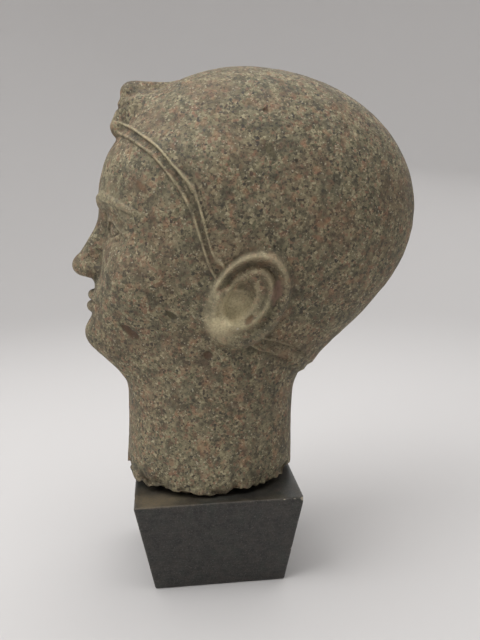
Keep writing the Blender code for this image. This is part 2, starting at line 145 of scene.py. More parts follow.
def through(*stations):
    """A smooth curve through (place, value) stations, level beyond its ends."""
    places, values = np.array(stations, float).T
    slopes = np.gradient(values, places)

    def curve(at):
        at = np.clip(at, places[0], places[-1])
        left = np.clip(np.searchsorted(places, at) - 1, 0, len(places) - 2)
        span = places[left + 1] - places[left]
        t = (at - places[left]) / span
        start, end = values[left], values[left + 1]
        leaving, arriving = slopes[left] * span, slopes[left + 1] * span
        bend = (2 * t - 3) * t * t
        return (
            start * (1 + bend)
            - end * bend
            + leaving * t * (1 - t) ** 2
            - arriving * t * t * (1 - t)
        )

    return curve


def smooth_union(a, b, blend):
    """Two forms as one, with a soft fillet where they meet."""
    share = np.clip(0.5 + 0.5 * (b - a) / blend, 0, 1)
    return b + (a - b) * share - blend * share * (1 - share)


def smooth_cut(a, b, blend):
    """What two forms have in common, with a rounded edge."""
    return -smooth_union(-a, -b, blend)


def rise(value, start, end):
    """0 up to start, 1 from end on, and a smooth step between."""
    t = np.clip((value - start) / (end - start), 0, 1)
    return t * t * (3 - 2 * t)


def hump(offset, width):
    """1 in the middle, fading out over about twice the width."""
    return np.exp(-((offset / width) ** 2))


def across(value, curve, at, step=0.05):
    """The distance of value from a curve, measured square to the curve."""
    slope = (curve(at + step) - curve(at - step)) / (2 * step)
    return (value - curve(at)) / np.sqrt(1 + slope * slope)


# Face, from the chin up: how far the midline lies behind the face plane, and the half width.
MIDLINE = through(
    (-9, 4.2), (-3, 2.6), (2, 2.0), (7, 2.5), (12, 2.2), (17.2, 2.2), (23, 2.8), (29, 3.0),
    (33, 2.1), (38, 1.2), (42, 1.1), (46, 1.8), (50.5, 3.6), (54, 5.6), (60, 9.5),
)
HALF_WIDTH = through(
    (-9, 7.5), (-3, 10.2), (2, 12.6), (7, 15.4), (12, 18.0), (18, 20.0), (24, 21.0),
    (30, 21.4), (38, 21.6), (46, 21.5), (54, 20.6),
)

# The lids over the eye line and the brow over its own height, along the way out from the midline.
EYE_INNER = 3.9
EYE_OUTER = 12.9
PAINT_LINE_END = 17.6
BROW_END = 18.4
UPPER_LID = through(
    (EYE_INNER, -0.9), (5.6, 0.8), (8.2, 1.75), (10.8, 1.3), (EYE_OUTER, 0.1), (19, -0.5),
)
LOWER_LID = through(
    (EYE_INNER, -0.9), (5.8, -1.55), (8.6, -1.9), (11.2, -1.3), (EYE_OUTER, -0.3), (19, -0.9),
)
BROW_LINE = through((2, 0.2), (5.5, 1.6), (10, 2.4), (14.5, 1.5), (20, -0.6))

# The cap's lower edge in side view, from the brow round under the ear to the nape, as z over y.
CAP_EDGE = through(
    (-24, 85.9), (-19.7, 84.5), (-15.7, 81.8), (-12.4, 78.9), (-9.6, 75.4), (-7.6, 72.6),
    (-5.8, 69.2), (-4.6, 66.0), (-3.2, 61.2), (-1.8, 56.6), (0.8, 51.0), (3.2, 44.5),
    (6.0, 39.2), (9.2, 36.0), (13.3, 34.3), (16.8, 32.3), (20.8, 28.7), (24.5, 25.2), (30, 21.5),
)
BAND_WIDTH = through((-22, 2.4), (-16, 2.1), (0, 2.0), (9, 3.0), (25, 3.0))
STEP_HEIGHT = through((24, 1.0), (33, 0.8), (44, 0.5), (54, 0.42), (90, 0.42))

# Ear: its middle in side view, its lean, and its half length and half width.
EAR_MIDDLE = (7.0, 48.0)
EAR_LEAN = math.radians(28.0)
EAR_HALF_LENGTH = 12.0
EAR_HALF_WIDTH = 8.8
FRONT_KNOB = ((-6.2, -1.9), (1.4, 2.0))
LOW_KNOB = ((-1.2, -6.9), (1.7, 1.2))
EAR_NOTCH = ((-4.2, -5.6), (0.9, 1.3))
LOBE = ((-2.6, -9.2), (4.2, 2.6))
INNER_FOLD = ((-0.2, 0.4), (4.6, 6.9))
BOWL = ((-1.6, -0.8), (3.5, 5.6))

# The cobra at the brow, worn to soft lumps: its tail along the cap, its coil, the root under them, its hood.
TAIL = ((0, -15.0, 95.2), (0, -6.5, 95.7))
TAIL_RADII = (1.7, 0.9)
COIL = ((0, -16.9, 94.2), (3.0, 2.8, 2.8))
ROOT = ((0, -14.6, 90.9), (6.4, 5.2, 4.0))
HOOD = ((0, -18.4, 91.2), (0, -18.9, 86.8))
HOOD_RADII = (2.0, 3.4)
HOOD_FOOT = 84.2

# The broken edge of the neck: its height over the turn from the front, 0 to 1 round +X and back.
BREAK_EDGE = through(
    (0.0, 4.3), (0.03, 4.0), (0.06, 2.6), (0.10, 1.8), (0.14, 2.4), (0.17, 1.5), (0.22, 1.2),
    (0.26, 0.3), (0.30, 0.8), (0.34, 1.4), (0.40, 1.1), (0.46, 1.9), (0.52, 1.2), (0.58, 2.3),
    (0.64, 1.0), (0.70, 1.8), (0.76, 0.5), (0.82, 1.6), (0.88, 2.9), (0.94, 2.4), (1.0, 4.3),
)
SEAT_SHARE = 0.62


def ellipsoid(x, y, z, radii):
    """An ellipsoid round the origin, by its three radii."""
    near = np.sqrt((x / radii[0]) ** 2 + (y / radii[1]) ** 2 + (z / radii[2]) ** 2)
    steep = np.sqrt((x / radii[0] ** 2) ** 2 + (y / radii[1] ** 2) ** 2 + (z / radii[2] ** 2) ** 2)
    return near * (near - 1) / np.maximum(steep, 1e-9)


def lump(x, y, z, place, radii):
    """An ellipsoid round a place."""
    return ellipsoid(x - place[0], y - place[1], z - place[2], radii)


def bar(x, y, z, start, end, radii):
    """A bar with round ends from start to end, of one radius at each end."""
    run = [b - a for a, b in zip(start, end)]
    off = [x - start[0], y - start[1], z - start[2]]
    along = sum(o * r for o, r in zip(off, run)) / sum(r * r for r in run)
    along = np.clip(along, 0, 1)
    gap = np.sqrt(sum((o - along * r) ** 2 for o, r in zip(off, run)))
    return gap - (radii[0] + (radii[1] - radii[0]) * along)


def skull(x, y, z):
    """An egg that reaches further back than forwards."""
    y = y - SKULL_CENTRE[0]
    reach = np.where(y > 0, SKULL_BACK, SKULL_FRONT)
    return ellipsoid(x, y, z - SKULL_CENTRE[1], (SKULL_SIDE, reach, SKULL_UP))


def nape(x, y, z):
    """The full nape, from the skull down into the neck."""
    return bar(x, y, z, (0, *NAPE_LOW), (0, *NAPE_HIGH), NAPE_RADII)


def neck(x, y, z):
    """A leaning oval column with a slight waist."""
    off = y - NECK_FOOT_Y - NECK_LEAN * np.clip(z, 0, NECK_TOP)
    slim = 1 - NECK_WAIST * hump(z - NECK_WAIST_AT, NECK_WAIST_REACH)
    ring = np.hypot(x / NECK_HALF_WIDTH, off / NECK_HALF_DEPTH) / slim
    column = np.hypot(x, off) * (1 - 1 / np.maximum(ring, 1e-6))
    return smooth_cut(column, z - NECK_TOP, 6)


def to_face(y, z):
    """(depth behind the face plane, height above the chin) of a place in side view."""
    off_y, off_z = y - CHIN_POINT[0], z - CHIN_POINT[1]
    lean, upright = math.sin(FACE_TILT), math.cos(FACE_TILT)
    return off_y * upright - off_z * lean, off_y * lean + off_z * upright


def face_mass(x, depth, height, y, z):
    """The plain mass of the face and jaw, before the features are carved."""
    front = MIDLINE(height)
    inward = EAR_DEPTH - depth
    inward = np.where(inward > 0, inward, inward * 1.5)
    ring = (x / HALF_WIDTH(height)) ** FACE_FULLNESS
    ring = ring + (np.abs(inward) / (EAR_DEPTH - front)) ** FACE_FULLNESS
    ring = np.maximum(ring, 1e-9) ** (1 / FACE_FULLNESS)
    mass = np.hypot(x, inward) * (1 - 1 / ring)
    mass = smooth_cut(mass, height - HAIRLINE, 9)
    below = -(y - THROAT_POINT[0]) * math.sin(THROAT_SLOPE)
    below = below - (z - THROAT_POINT[1]) * math.cos(THROAT_SLOPE)
    return smooth_cut(mass, below, 4)


def socket_hollow(x, height):
    """How far the surface sinks round the eye: sharply under the brow, softly on to the cheek."""
    up = height - EYE_LINE
    tall = rise(up, -5.8, -0.8) * (1 - rise(up, 1.6, 6.0))
    wide = 1 - rise(np.abs(x - EYE_MIDDLE), 2.0, 9.5)
    inner = hump(x - EYE_INNER - 0.4, 2.4) * hump(up - 0.6, 3.0)
    return 1.5 * tall * wide + 0.8 * inner


def add_eyes(form, x, depth, height):
    """An almond eyeball, a lid above and below it, and the raised line that runs on outwards."""
    off, up = x - EYE_MIDDLE, height - EYE_LINE
    set_back = depth - EYE_BACK - EYE_SLANT * off
    form = smooth_union(form, ellipsoid(off, set_back, up, EYEBALL), 1.0)
    lid = ellipsoid(off, set_back, up, LIDS)
    upper = smooth_cut(lid, -across(up, UPPER_LID, x), 0.3)
    lower = smooth_cut(lid + 0.25, across(up, LOWER_LID, x), 0.3)
    return smooth_union(form, np.minimum(upper, lower), 0.6)


def add_nose(form, x, depth, height):
    """A straight bridge, a round tip, and wings with their nostrils."""
    nose = bar(x, depth, height, *BRIDGE, BRIDGE_RADII)
    nose = smooth_union(nose, lump(x, depth, height, *NOSE_TIP), 1.5)
    nose = smooth_union(nose, lump(x, depth, height, *NOSE_WING), 1.8)
    form = smooth_union(form, nose, 2.2)
    return smooth_cut(form, -lump(x, depth, height, *NOSTRIL), 0.5)


def add_mouth(form, x, depth, height):
    """Two full lips that meet on a level line and follow the arch of the jaw."""
    arched = depth - MOUTH_ARCH * x * x
    form = smooth_union(form, lump(x, depth, height, *MUZZLE), 4.0)
    upper = bar(x, arched, height, *UPPER_LIP, UPPER_LIP_RADII)
    lower = bar(x, arched, height, *LOWER_LIP, LOWER_LIP_RADII)
    return smooth_union(form, smooth_union(upper, lower, 0.2), 0.6)


def add_chin_and_cheeks(form, x, depth, height):
    """A round chin and full cheeks, blended softly in."""
    form = smooth_union(form, lump(x, depth, height, *CHIN), 2.6)
    return smooth_union(form, lump(x, depth, height, *CHEEK), 5.0)


def face_lines(x, height):
    """What is drawn on the face in low relief: brows, the rims of the lids and the line behind them."""
    brow_off = across(height - BROW, BROW_LINE, x)
    half = 1.0 - 0.4 * rise(x, 8, BROW_END)
    band = rise(-np.abs(brow_off), -half - 0.4, -half + 0.2)
    brow = 0.45 * band * rise(x, 1.4, 3.4) * (1 - rise(x, BROW_END - 1.4, BROW_END))
    ridge = 0.35 * hump(brow_off + 0.4, 2.8) * rise(x, 0, 5) * (1 - rise(x, 13, 19))
    above = across(height - EYE_LINE, UPPER_LID, x)
    below = across(height - EYE_LINE, LOWER_LID, x)
    start = rise(x, EYE_INNER - 0.6, EYE_INNER + 0.8)
    upper_end = 1 - rise(x, PAINT_LINE_END - 1.0, PAINT_LINE_END)
    lower_end = 1 - rise(x, EYE_OUTER - 0.4, EYE_OUTER + 1.2)
    rims = 0.34 * hump(above - 0.35, 0.6) * start * upper_end
    rims = rims + 0.2 * hump(below + 0.35, 0.5) * start * lower_end
    lip_top = MOUTH_LINE + 2.3
    groove = rise(height, lip_top, lip_top + 1.1) * (1 - rise(height, NOSE_BASE - 1.2, NOSE_BASE - 0.2))
    groove = -0.3 * hump(x, 0.9) * groove
    corner = -0.6 * hump(x - MOUTH_CORNER, 1.2) * hump(height - MOUTH_LINE, 1.2)
    return brow + ridge + rims + groove + corner


def add_face(form, x, depth, height):
    """The features, on a form that already has the mass of the head."""
    near = 1 - rise(depth, EAR_DEPTH * 0.5, EAR_DEPTH * 0.8)
    form = form + socket_hollow(x, height) * near
    form = add_chin_and_cheeks(form, x, depth, height)
    form = add_eyes(form, x, depth, height)
    form = add_nose(form, x, depth, height)
    form = add_mouth(form, x, depth, height)
    return form - face_lines(x, height) * near


def cap_relief(y, z):
    """Two steps up from the skin: a narrow band along the edge, then the cap itself."""
    above = across(z, CAP_EDGE, y)
    width, step = BAND_WIDTH(y), STEP_HEIGHT(z)
    lip = 0.2 * (hump(above - 0.45, 0.4) + hump(above - width - 0.45, 0.4))
    return step * (rise(above, -0.3, 0.35) + rise(above, width - 0.3, width + 0.35)) + lip


def ear_frame(y, z):
    """(place towards the back, place upwards) on the ear's own leaning axes."""
    off_y, off_z = y - EAR_MIDDLE[0], z - EAR_MIDDLE[1]
    lean, upright = math.sin(EAR_LEAN), math.cos(EAR_LEAN)
    return off_y * upright - off_z * lean, off_y * lean + off_z * upright


def spot(back, up, place, radii):
    """1 at a place on the ear, fading out over about its radii."""
    return hump(back - place[0], radii[0]) * hump(up - place[1], radii[1])


def oval(back, up, place, radii):
    """0 in the middle of an oval on the ear, and 1 on its outline."""
    return np.hypot((back - place[0]) / radii[0], (up - place[1]) / radii[1])


def ear_relief(back, up, ring):
    """A broad, low ear: rolled rim, groove, inner fold, bowl with its ledge, knobs and a heavy lobe."""
    turn = np.arctan2(up / EAR_HALF_LENGTH, back / EAR_HALF_WIDTH)
    slant = 0.4 + 2.1 * rise(back, -EAR_HALF_WIDTH, EAR_HALF_WIDTH * 0.8)
    behind = rise(np.cos(turn + 0.3), 0.1, 0.9)
    rim = (1.3 - 0.5 * behind) * hump(ring - 0.88, 0.07 + 0.07 * behind)
    rim = rim * rise(np.cos(turn - 1.2), -0.7, -0.2)
    groove = (0.35 * behind - 0.75) * hump(ring - 0.72, 0.09) * rise(np.cos(turn - 1.2), -0.6, 0.1)
    fold = 0.9 * hump(oval(back, up, *INNER_FOLD) - 0.98, 0.13) * rise(np.cos(turn - 0.1), -0.8, -0.2)
    bowl = -1.9 * (1 - rise(oval(back, up, *BOWL), 0.5, 1.05))
    ledge = 0.9 * hump(up - 1.6 - 0.2 * back, 0.9) * rise(back, -6.8, -5) * (1 - rise(back, -2.4, 0.2))
    knobs = 1.2 * spot(back, up, *FRONT_KNOB) + 0.8 * spot(back, up, *LOW_KNOB)
    notch = -0.6 * spot(back, up, *EAR_NOTCH)
    return slant + rim + groove + fold + bowl + ledge + knobs + notch + 0.9 * spot(back, up, *LOBE)


def ear_share(x, y, z, start=0.95):
    """(place back, place up, ring, 1 inside the ear from the ring start inwards) on the ear's own axes."""
    back, up = ear_frame(y, z)
    ring = np.hypot(back / EAR_HALF_WIDTH, up / EAR_HALF_LENGTH)
    return back, up, ring, (1 - rise(ring, start, 1.1)) * rise(np.abs(x), 12, 16)


def side_relief(x, y, z):
    """What stands up from the skin: the cap's steps, and the ears in their place."""
    back, up, ring, ear = ear_share(x, y, z, 0.9)
    return cap_relief(y, z) * (1 - ear) + ear_relief(back, up, ring) * ear


def add_cobra(form, x, y, z):
    """The worn cobra over the brow, rooted in the cap."""
    coil = smooth_union(bar(x, y, z, *TAIL, TAIL_RADII), lump(x, y, z, *COIL), 1.2)
    hood = smooth_cut(bar(x, y, z, *HOOD, HOOD_RADII), HOOD_FOOT - z, 0.8)
    root = smooth_union(form, lump(x, y, z, *ROOT), 3.0)
    return smooth_union(root, smooth_union(coil, hood, 0.8), 1.3)


def foot_ring(x, y):
    """0 at the middle of the neck's foot, and 1 on its outline."""
    return np.hypot(x / NECK_HALF_WIDTH, (y - NECK_FOOT_Y) / NECK_HALF_DEPTH)


def break_height(x, y):
    """The rough underside: the broken edge, falling to the flat that the head stands on."""
    turn = np.arctan2(x, NECK_FOOT_Y - y) / (2 * math.pi) % 1.0
    rough = 0.35 * np.sin(0.9 * x + 1.3) * np.sin(1.1 * y + 0.4) + 0.2 * np.sin(2.3 * x - 1.9 * y)
    edge = np.maximum(BREAK_EDGE(turn) + rough, 0)
    return edge * rise(foot_ring(x, y), SEAT_SHARE, 1.0)


def head_field(x, y, z):
    """Negative inside the stone head and positive outside, all in units of the head."""
    depth, height = to_face(y, z)
    side = np.abs(x)
    form = smooth_union(skull(x, y, z), face_mass(side, depth, height, y, z), 4)
    form = smooth_union(form, nape(x, y, z), 6)
    form = smooth_union(form, neck(x, y, z), 5)
    form = add_face(form, side, depth, height)
    return add_cobra(form - side_relief(x, y, z), x, y, z)


# What tools and time left on the stone, in units of the head.
PECKING = ((7.0, 0.10), (2.6, 0.055), (1.2, 0.035))
PIT_SPACING = 3.4
PIT_SHARE = 0.4
PIT_RADII = (0.22, 0.55)
PIT_DEPTH = 0.28
RIM_SCALLOPS = ((5.0, 0.48), (2.7, 0.36), (1.5, 0.12))
LINE_WIDTH = 0.23
LINE_HEIGHT = 0.28
GROOVE_DEPTH = 0.35
GROOVE_FILL = 0.26
SPALL_REACH = 3.4
SPALL_DEPTH = 1.1

# Marks on the left side: place as (y, z), half length, half width, lean in degrees, depth, colour.
RUST = "#6d523a"
BROWN = "#523a29"
OLIVE = "#4b452e"
PINK = "#7d6354"
WHITE = "#cfc8b4"
# Pale stone dust; the same colour is laid as a painted highlight on the band's raised lines and the ear's top
# rim.
DUST = "#c8bb96"
MARKS = (
    ((-19.3, 40.2), 3.2, 0.9, -40, 0.3, BROWN),
    ((-9.9, 44.9), 1.5, 0.8, -35, 0.3, OLIVE),
    ((-1.9, 35.0), 1.6, 1.0, -15, 0.35, BROWN),
    ((-15.4, 73.2), 2.3, 0.9, -50, 0.0, RUST),
    ((12.0, 80.0), 2.6, 1.0, -65, 0.1, OLIVE),
    ((11.8, 88.7), 0.7, 0.6, 0, 0.3, BROWN),
    ((13.2, 50.0), 3.4, 1.5, 80, 0.0, PINK),
    ((7.3, 43.6), 1.4, 0.9, 60, 0.0, RUST),
    ((4.6, 41.8), 0.45, 0.4, 0, -0.05, WHITE),
)


def cell_random(ix, iy, iz, seed):
    """A repeatable random number from 0 to 1 for each cell of a grid."""
    mixed = (ix * 73856093) ^ (iy * 19349663) ^ (iz * 83492791) ^ (seed * 7919 + 104729)
    mixed = ((mixed ^ (mixed >> 13)) * 1274126177) & 0xFFFFFFFF
    mixed = ((mixed ^ (mixed >> 15)) * 668265263) & 0xFFFFFFFF
    return ((mixed ^ (mixed >> 16)) & 0xFFFFFF) / 0xFFFFFF


def cells_of(x, y, z, size):
    """Places measured in cells of a grid, and the cells that they lie in."""
    places = [np.asarray(value, float) / size for value in (x, y, z)]
    cells = [np.floor(place).astype(np.int64) for place in places]
    return places, cells


def uneven(x, y, z, size, seed=0):
    """Smooth unevenness from -1 to 1 that swings over about one size."""
    places, cells = cells_of(x, y, z, size)
    parts = [rise(place - cell, 0, 1) for place, cell in zip(places, cells)]
    total = 0.0
    for corner in np.ndindex(2, 2, 2):
        weight = 1.0
        for part, step in zip(parts, corner):
            weight = weight * (part if step else 1 - part)
        total = total + weight * cell_random(*[c + s for c, s in zip(cells, corner)], seed)
    return 2 * total - 1


def pitting(x, y, z, seed=0):
    """How deep small round pits are here, 0 to 1: one in some of the cells of a grid."""
    places, cells = cells_of(x, y, z, PIT_SPACING)
    deepest = np.zeros(np.shape(places[0]))
    for corner in np.ndindex(3, 3, 3):
        near = [cell + step - 1 for cell, step in zip(cells, corner)]
        gap = 0.0
        for axis, (place, cell) in enumerate(zip(places, near)):
            gap = gap + (place - cell - cell_random(*near, seed + axis)) ** 2
        size = cell_random(*near, seed + 3)
        there = size < PIT_SHARE
        radius = (PIT_RADII[0] + (PIT_RADII[1] - PIT_RADII[0]) * size / PIT_SHARE) / PIT_SPACING
        deepest = np.maximum(deepest, np.where(there, np.exp(-gap / radius**2), 0))
    return deepest


def mark_shape(x, y, z, mark):
    """1 in the middle of a mark and 0 outside it, with a soft crooked edge."""
    (middle_y, middle_z), length, width, lean, _, _ = mark
    turn = math.radians(lean)
    off_y, off_z = y - middle_y, z - middle_z
    along = off_y * math.cos(turn) + off_z * math.sin(turn)
    beside = off_z * math.cos(turn) - off_y * math.sin(turn)
    ring = np.hypot(along / length, beside / width) + 0.25 * uneven(x, y, z, 0.9, 40)
    return (1 - rise(ring, 0.55, 1.15)) * rise(x, 4, 8)


def band_edges(y, z):
    """How far a place lies above the band's lower edge and above its upper edge."""
    above = across(z, CAP_EDGE, y)
    return above, above - BAND_WIDTH(y)


def band_lines(x, y, z):
    """(relief, share of dust and painted highlight) of the thin raised lines along both edges of the band."""
    above, upper = band_edges(y, z)
    there = rise(np.abs(x), 1.5, 5) * (1 - rise(y, 15, 21))
    worn = 0.75 + 0.5 * uneven(x, y, z, 2.0, 71)
    faint = np.clip(0.5 + 0.8 * uneven(x, y, z, 1.6, 72), 0, 1)
    lines = 0.6 * hump(above - 0.2, LINE_WIDTH) + hump(upper - 0.2, LINE_WIDTH)
    grooves = 0.7 * hump(above - 0.75, LINE_WIDTH) + hump(upper - 0.75, LINE_WIDTH * 1.2)
    # The tops of the raised lines are pale: stone dust and a painted highlight where they catch the light.
    dust = faint * hump(above - 0.2, LINE_WIDTH * 0.8) + hump(upper - 0.2, LINE_WIDTH * 0.8)
    clean = 1 - 0.8 * rise(y, 4, 12)
    return there * worn * LINE_HEIGHT * (lines - 0.8 * grooves), there * worn * clean * dust


def nape_wear(y, z):
    """How much the band's steps are rounded off at the nape: off their edges and into their feet."""
    above, upper = band_edges(y, z)
    edges = hump(above - 0.55, 0.5) + hump(upper - 0.55, 0.5)
    feet = hump(above + 0.45, 0.45) + hump(upper + 0.45, 0.45)
    return (0.34 * edges - 0.24 * feet) * rise(y, 15, 21)


def cobra_grooves(x, y, z):
    """The worn grooves under the cobra's tail and between its coil and its hood."""
    under_tail = hump(z - 93.7 - 0.06 * (y + 15), 0.5) * rise(y, -19.5, -17.5) * (1 - rise(y, -9, -6.5))
    over_hood = hump(z - 91.4 - 0.15 * (y + 18), 0.5) * (1 - rise(y, -17.5, -15.5))
    return (under_tail + over_hood) * rise(z, 89, 90) * (1 - rise(np.abs(x), 5, 7))


def face_cuts(x, y, z):
    """The finest cuts on the face: folds over the lids, their rims, the lips' parting, the nose's wings."""
    side = np.abs(x)
    depth, height = to_face(y, z)
    above = across(height - EYE_LINE, UPPER_LID, side)
    below = across(height - EYE_LINE, LOWER_LID, side)
    eye = rise(side, EYE_INNER - 0.4, EYE_INNER + 0.8) * (1 - rise(side, EYE_OUTER - 0.6, EYE_OUTER + 1))
    lids = 0.34 * hump(above - 2.1, 0.45) + 0.32 * (hump(above + 0.4, 0.35) + hump(below - 0.35, 0.3))
    parting = 0.42 * hump(height - MOUTH_LINE, 0.42) * (1 - rise(side, MOUTH_CORNER - 1, MOUTH_CORNER + 0.6))
    wing = np.hypot(side - NOSE_WING[0][0] + 0.4, height - NOSE_WING[0][2])
    wing = 0.36 * hump(wing - 2.7, 0.5) * rise(side, 2.4, 3.6)
    return (eye * lids + parting + wing) * (1 - rise(depth, 12, 18))


def fine_relief(x, y, z, edge):
    """How far the worked surface stands out from the plain form. edge is the height of the break."""
    out = 0.0
    for seed, (size, height) in enumerate(PECKING):
        out = out + height * uneven(x, y, z, size, seed)
    _, _, ring, ear = ear_share(x, y, z)
    out = out - GROOVE_DEPTH * cobra_grooves(x, y, z) - face_cuts(x, y, z) - nape_wear(y, z) * (1 - ear)
    out = out + GROOVE_FILL * ear * hump(ring - 0.74, 0.08)
    out = out + 0.08 * ear * uneven(x, y, z, 0.9, 8) + band_lines(x, y, z)[0] * (1 - ear)
    out = out - PIT_DEPTH * pitting(x, y, z, 11) * (1 - ear)
    for mark in MARKS:
        depth = mark[4]
        out = out - depth * mark_shape(x, y, z, mark)
    bite = np.clip(0.35 + uneven(x, y, z, 3.6, 21) + 0.5 * uneven(x, y, z, 1.5, 22), 0, 1)
    near_edge = 1 - rise(z - edge, 0, SPALL_REACH)
    return out - SPALL_DEPTH * bite * near_edge


def worn_break(x, y):
    """The break with its small scallops, which the solid's edge leaves out."""
    ring = foot_ring(x, y)
    height = break_height(x, y)
    for seed, (size, rough) in enumerate(RIM_SCALLOPS):
        height = height + rough * uneven(x, y, 0 * x, size, 30 + seed) * rise(ring, 0.5, 0.95)
    return np.maximum(height, 0)


def outward(rings):
    """The surface's normals, from the rings' own neighbours."""
    along = np.roll(rings, -1, axis=1) - np.roll(rings, 1, axis=1)
    down = np.gradient(rings, axis=0)
    normal = np.cross(down, along)
    return normal / np.maximum(np.linalg.norm(normal, axis=-1, keepdims=True), 1e-9)


# Where the rings of points lie: (front height, back height) of each ring's plane, at y = -30 and
# y = 50. The crown's rings fan out from the middle of the topmost plane, so they reach any height.
RING_FRONT_Y = -30.0
RING_BACK_Y = 50.0
BELT_TOP = (91.0, 84.0)
BELT_FOOT = (32.0, 33.0)
COLLAR = 14.0
FARTHEST = 64.0
HALVINGS = 13
SPINE_Y = through((0, -0.5), (20, 0), (40, 5), (66, 10), (100, 11))


def ring_places():
    """(front height, back height, lift out of the plane) of each ring, from the crown to the collar."""
    lifts = math.pi / 2 * np.linspace(1, 0, CROWN_ROWS + 1)[:-1] ** 1.3
    belt = np.linspace(0, 1, BELT_ROWS + 1)
    collar = np.linspace(0, 1, COLLAR_ROWS + 1)[1:]
    ends = []
    for top, foot in zip(BELT_TOP, BELT_FOOT):
        crown_part = np.full(CROWN_ROWS, top)
        belt_part = top + (foot - top) * belt
        collar_part = foot + (COLLAR - foot) * collar
        ends.append(np.concatenate([crown_part, belt_part, collar_part]))
    level = np.zeros(len(belt) + len(collar))
    return (*ends, np.concatenate([lifts, level]))


def turns(columns):
    """Angles round the head from the front, closer together on the face, at the ears and the nape's sides."""
    even = np.linspace(-math.pi, math.pi, 2001)
    off = np.abs(even)
    crowding = 2.7 - 2 * rise(off, 2.4, 2.8)
    passed = np.concatenate([[0], np.cumsum((crowding[1:] + crowding[:-1]) / 2)])
    return np.interp(np.linspace(0, passed[-1], columns, endpoint=False), passed, even)


def surface_ring(y0, z0, fall, turn, lift):
    """Points of the head's surface as seen from (0, y0, z0): turn goes round in a plane that falls
    to the back, and lift rises out of that plane."""
    ahead, up = np.cos(turn) * np.cos(lift), np.sin(lift)
    aim = np.array([
        np.sin(turn) * np.cos(lift),
        up * np.sin(fall) - ahead * np.cos(fall),
        ahead * np.sin(fall) + up * np.cos(fall),
    ])

    def field(reach):
        return head_field(aim[0] * reach, y0 + aim[1] * reach, z0 + aim[2] * reach)

    inner, outer = np.zeros_like(aim[0]), np.full_like(aim[0], FARTHEST)
    for _ in range(HALVINGS):
        middle = (inner + outer) / 2
        inside = field(middle) < 0
        inner, outer = np.where(inside, middle, inner), np.where(inside, outer, middle)
    low, high = field(inner), field(outer)
    found = inner + (outer - inner) * np.clip(low / np.minimum(low - high, -1e-9), 0, 1)
    return np.stack([aim[0] * found, y0 + aim[1] * found, z0 + aim[2] * found], axis=-1)


def head_rings(columns):
    """All rings of the head from the crown to the middle of the underside, as an array of points."""
    turn = turns(columns)
    front, back, lift = ring_places()
    fall = np.arctan2(front - back, RING_BACK_Y - RING_FRONT_Y)
    y0 = SPINE_Y((front + back) / 2)
    z0 = front + (back - front) * (y0 - RING_FRONT_Y) / (RING_BACK_Y - RING_FRONT_Y)
    grid = np.broadcast_arrays(
        y0[:, None], z0[:, None], fall[:, None], turn[None, :], lift[:, None]
    )
    upper = surface_ring(*grid)
    edge = worn_break(upper[-1, :, 0], upper[-1, :, 1])
    level, foot_y = np.zeros(columns), np.full(columns, SPINE_Y(0.0))
    lower = []
    for share in np.linspace(0, 1, NECK_ROWS + 1)[1:]:
        z = COLLAR + (edge - COLLAR) * share
        lower.append(surface_ring(foot_y, z, level, turn, level))
    rim = lower[-1]
    middle = np.array([0.0, NECK_FOOT_Y, 0.0])
    for share in np.linspace(1, 0, UNDERSIDE_RINGS + 1)[1:-1]:
        ring = middle + (rim - middle) * share
        ring[:, 2] = worn_break(ring[:, 0], ring[:, 1])
        lower.append(ring)
    return np.concatenate([upper, np.array(lower)])


def grid_faces(rings, columns):
    """Quads between neighbouring rings, and a fan of triangles at each end."""
    faces = []
    for ring in range(rings - 1):
        for column in range(columns):
            after = (column + 1) % columns
            here, below = ring * columns, (ring + 1) * columns
            faces.append((here + column, below + column, below + after, here + after))
    top, foot = rings * columns, rings * columns + 1
    last = (rings - 1) * columns
    for column in range(columns):
        after = (column + 1) % columns
        faces.append((top, column, after))
        faces.append((foot, last + after, last + column))
    return faces


# Dust in the ear's hollow and on its lobe, back and up from the ear's middle: place and reach in units.
DUSTY_HOLLOW = ((-1.6, -3.4), (4.0, 4.2))
DUSTY_LOBE = ((-3.2, -8.2), (3.6, 3.0))
# How many times the surface is evened out to find its hollows.
RECESS_STEPS = 14


def head_points():
    """All points of the finely carved head in units, ring by ring, and its crown and foot points."""
    rings = head_rings(COLUMNS)
    normals = outward(rings[1:])
    crown, rings = rings[0, :1], rings[1:]
    x, y, z = np.moveaxis(rings, -1, 0)
    edge = worn_break(x, y)
    rings = rings + normals * fine_relief(x, y, z, edge)[..., None]
    rings[..., 2] = np.maximum(rings[..., 2], 0)
    foot = np.array([[0.0, NECK_FOOT_Y, 0.0]])
    return rings, crown, foot


def surface_marks(points):
    """What time did to the colour of the stone, for points in units: dust, break and coloured marks.
    The dust share also holds a painted highlight on the band's raised lines and the ear's top rim.
    """
    x, y, z = points.T
    side = np.abs(x)
    depth, height = to_face(y, z)
    back, up, ring, ear = ear_share(x, y, z)
    lines = band_lines(x, y, z)[1] * (1 - ear)
    hollow = 1.35 * spot(back, up, *DUSTY_HOLLOW) + 0.8 * spot(back, up, *DUSTY_LOBE)
    fold = hump(oval(back, up, *INNER_FOLD) - 1.0, 0.12)
    # The ear's rim is paler towards its top: dust and a painted highlight where the light falls.
    rim = hump(ring - 0.9, 0.08) * rise(up - back, 0, 8)
    drawn = np.clip(face_lines(side, height) / 0.45, 0, 1) * (1 - rise(depth, 12, 18))
    dust = lines + ear * (hollow + 0.4 * rim + 0.25 * fold) + 0.25 * drawn
    broken = 1 - rise(z - worn_break(x, y), 0.2, 2.2)
    tint = np.zeros((len(points), 4))
    for mark in MARKS:
        share = mark_shape(x, y, z, mark)[:, None]
        colour = rgba(mark[5])
        tint = tint * (1 - share) + np.array(colour) * share
    return np.clip(dust, 0, 1), np.clip(broken, 0, 1), tint


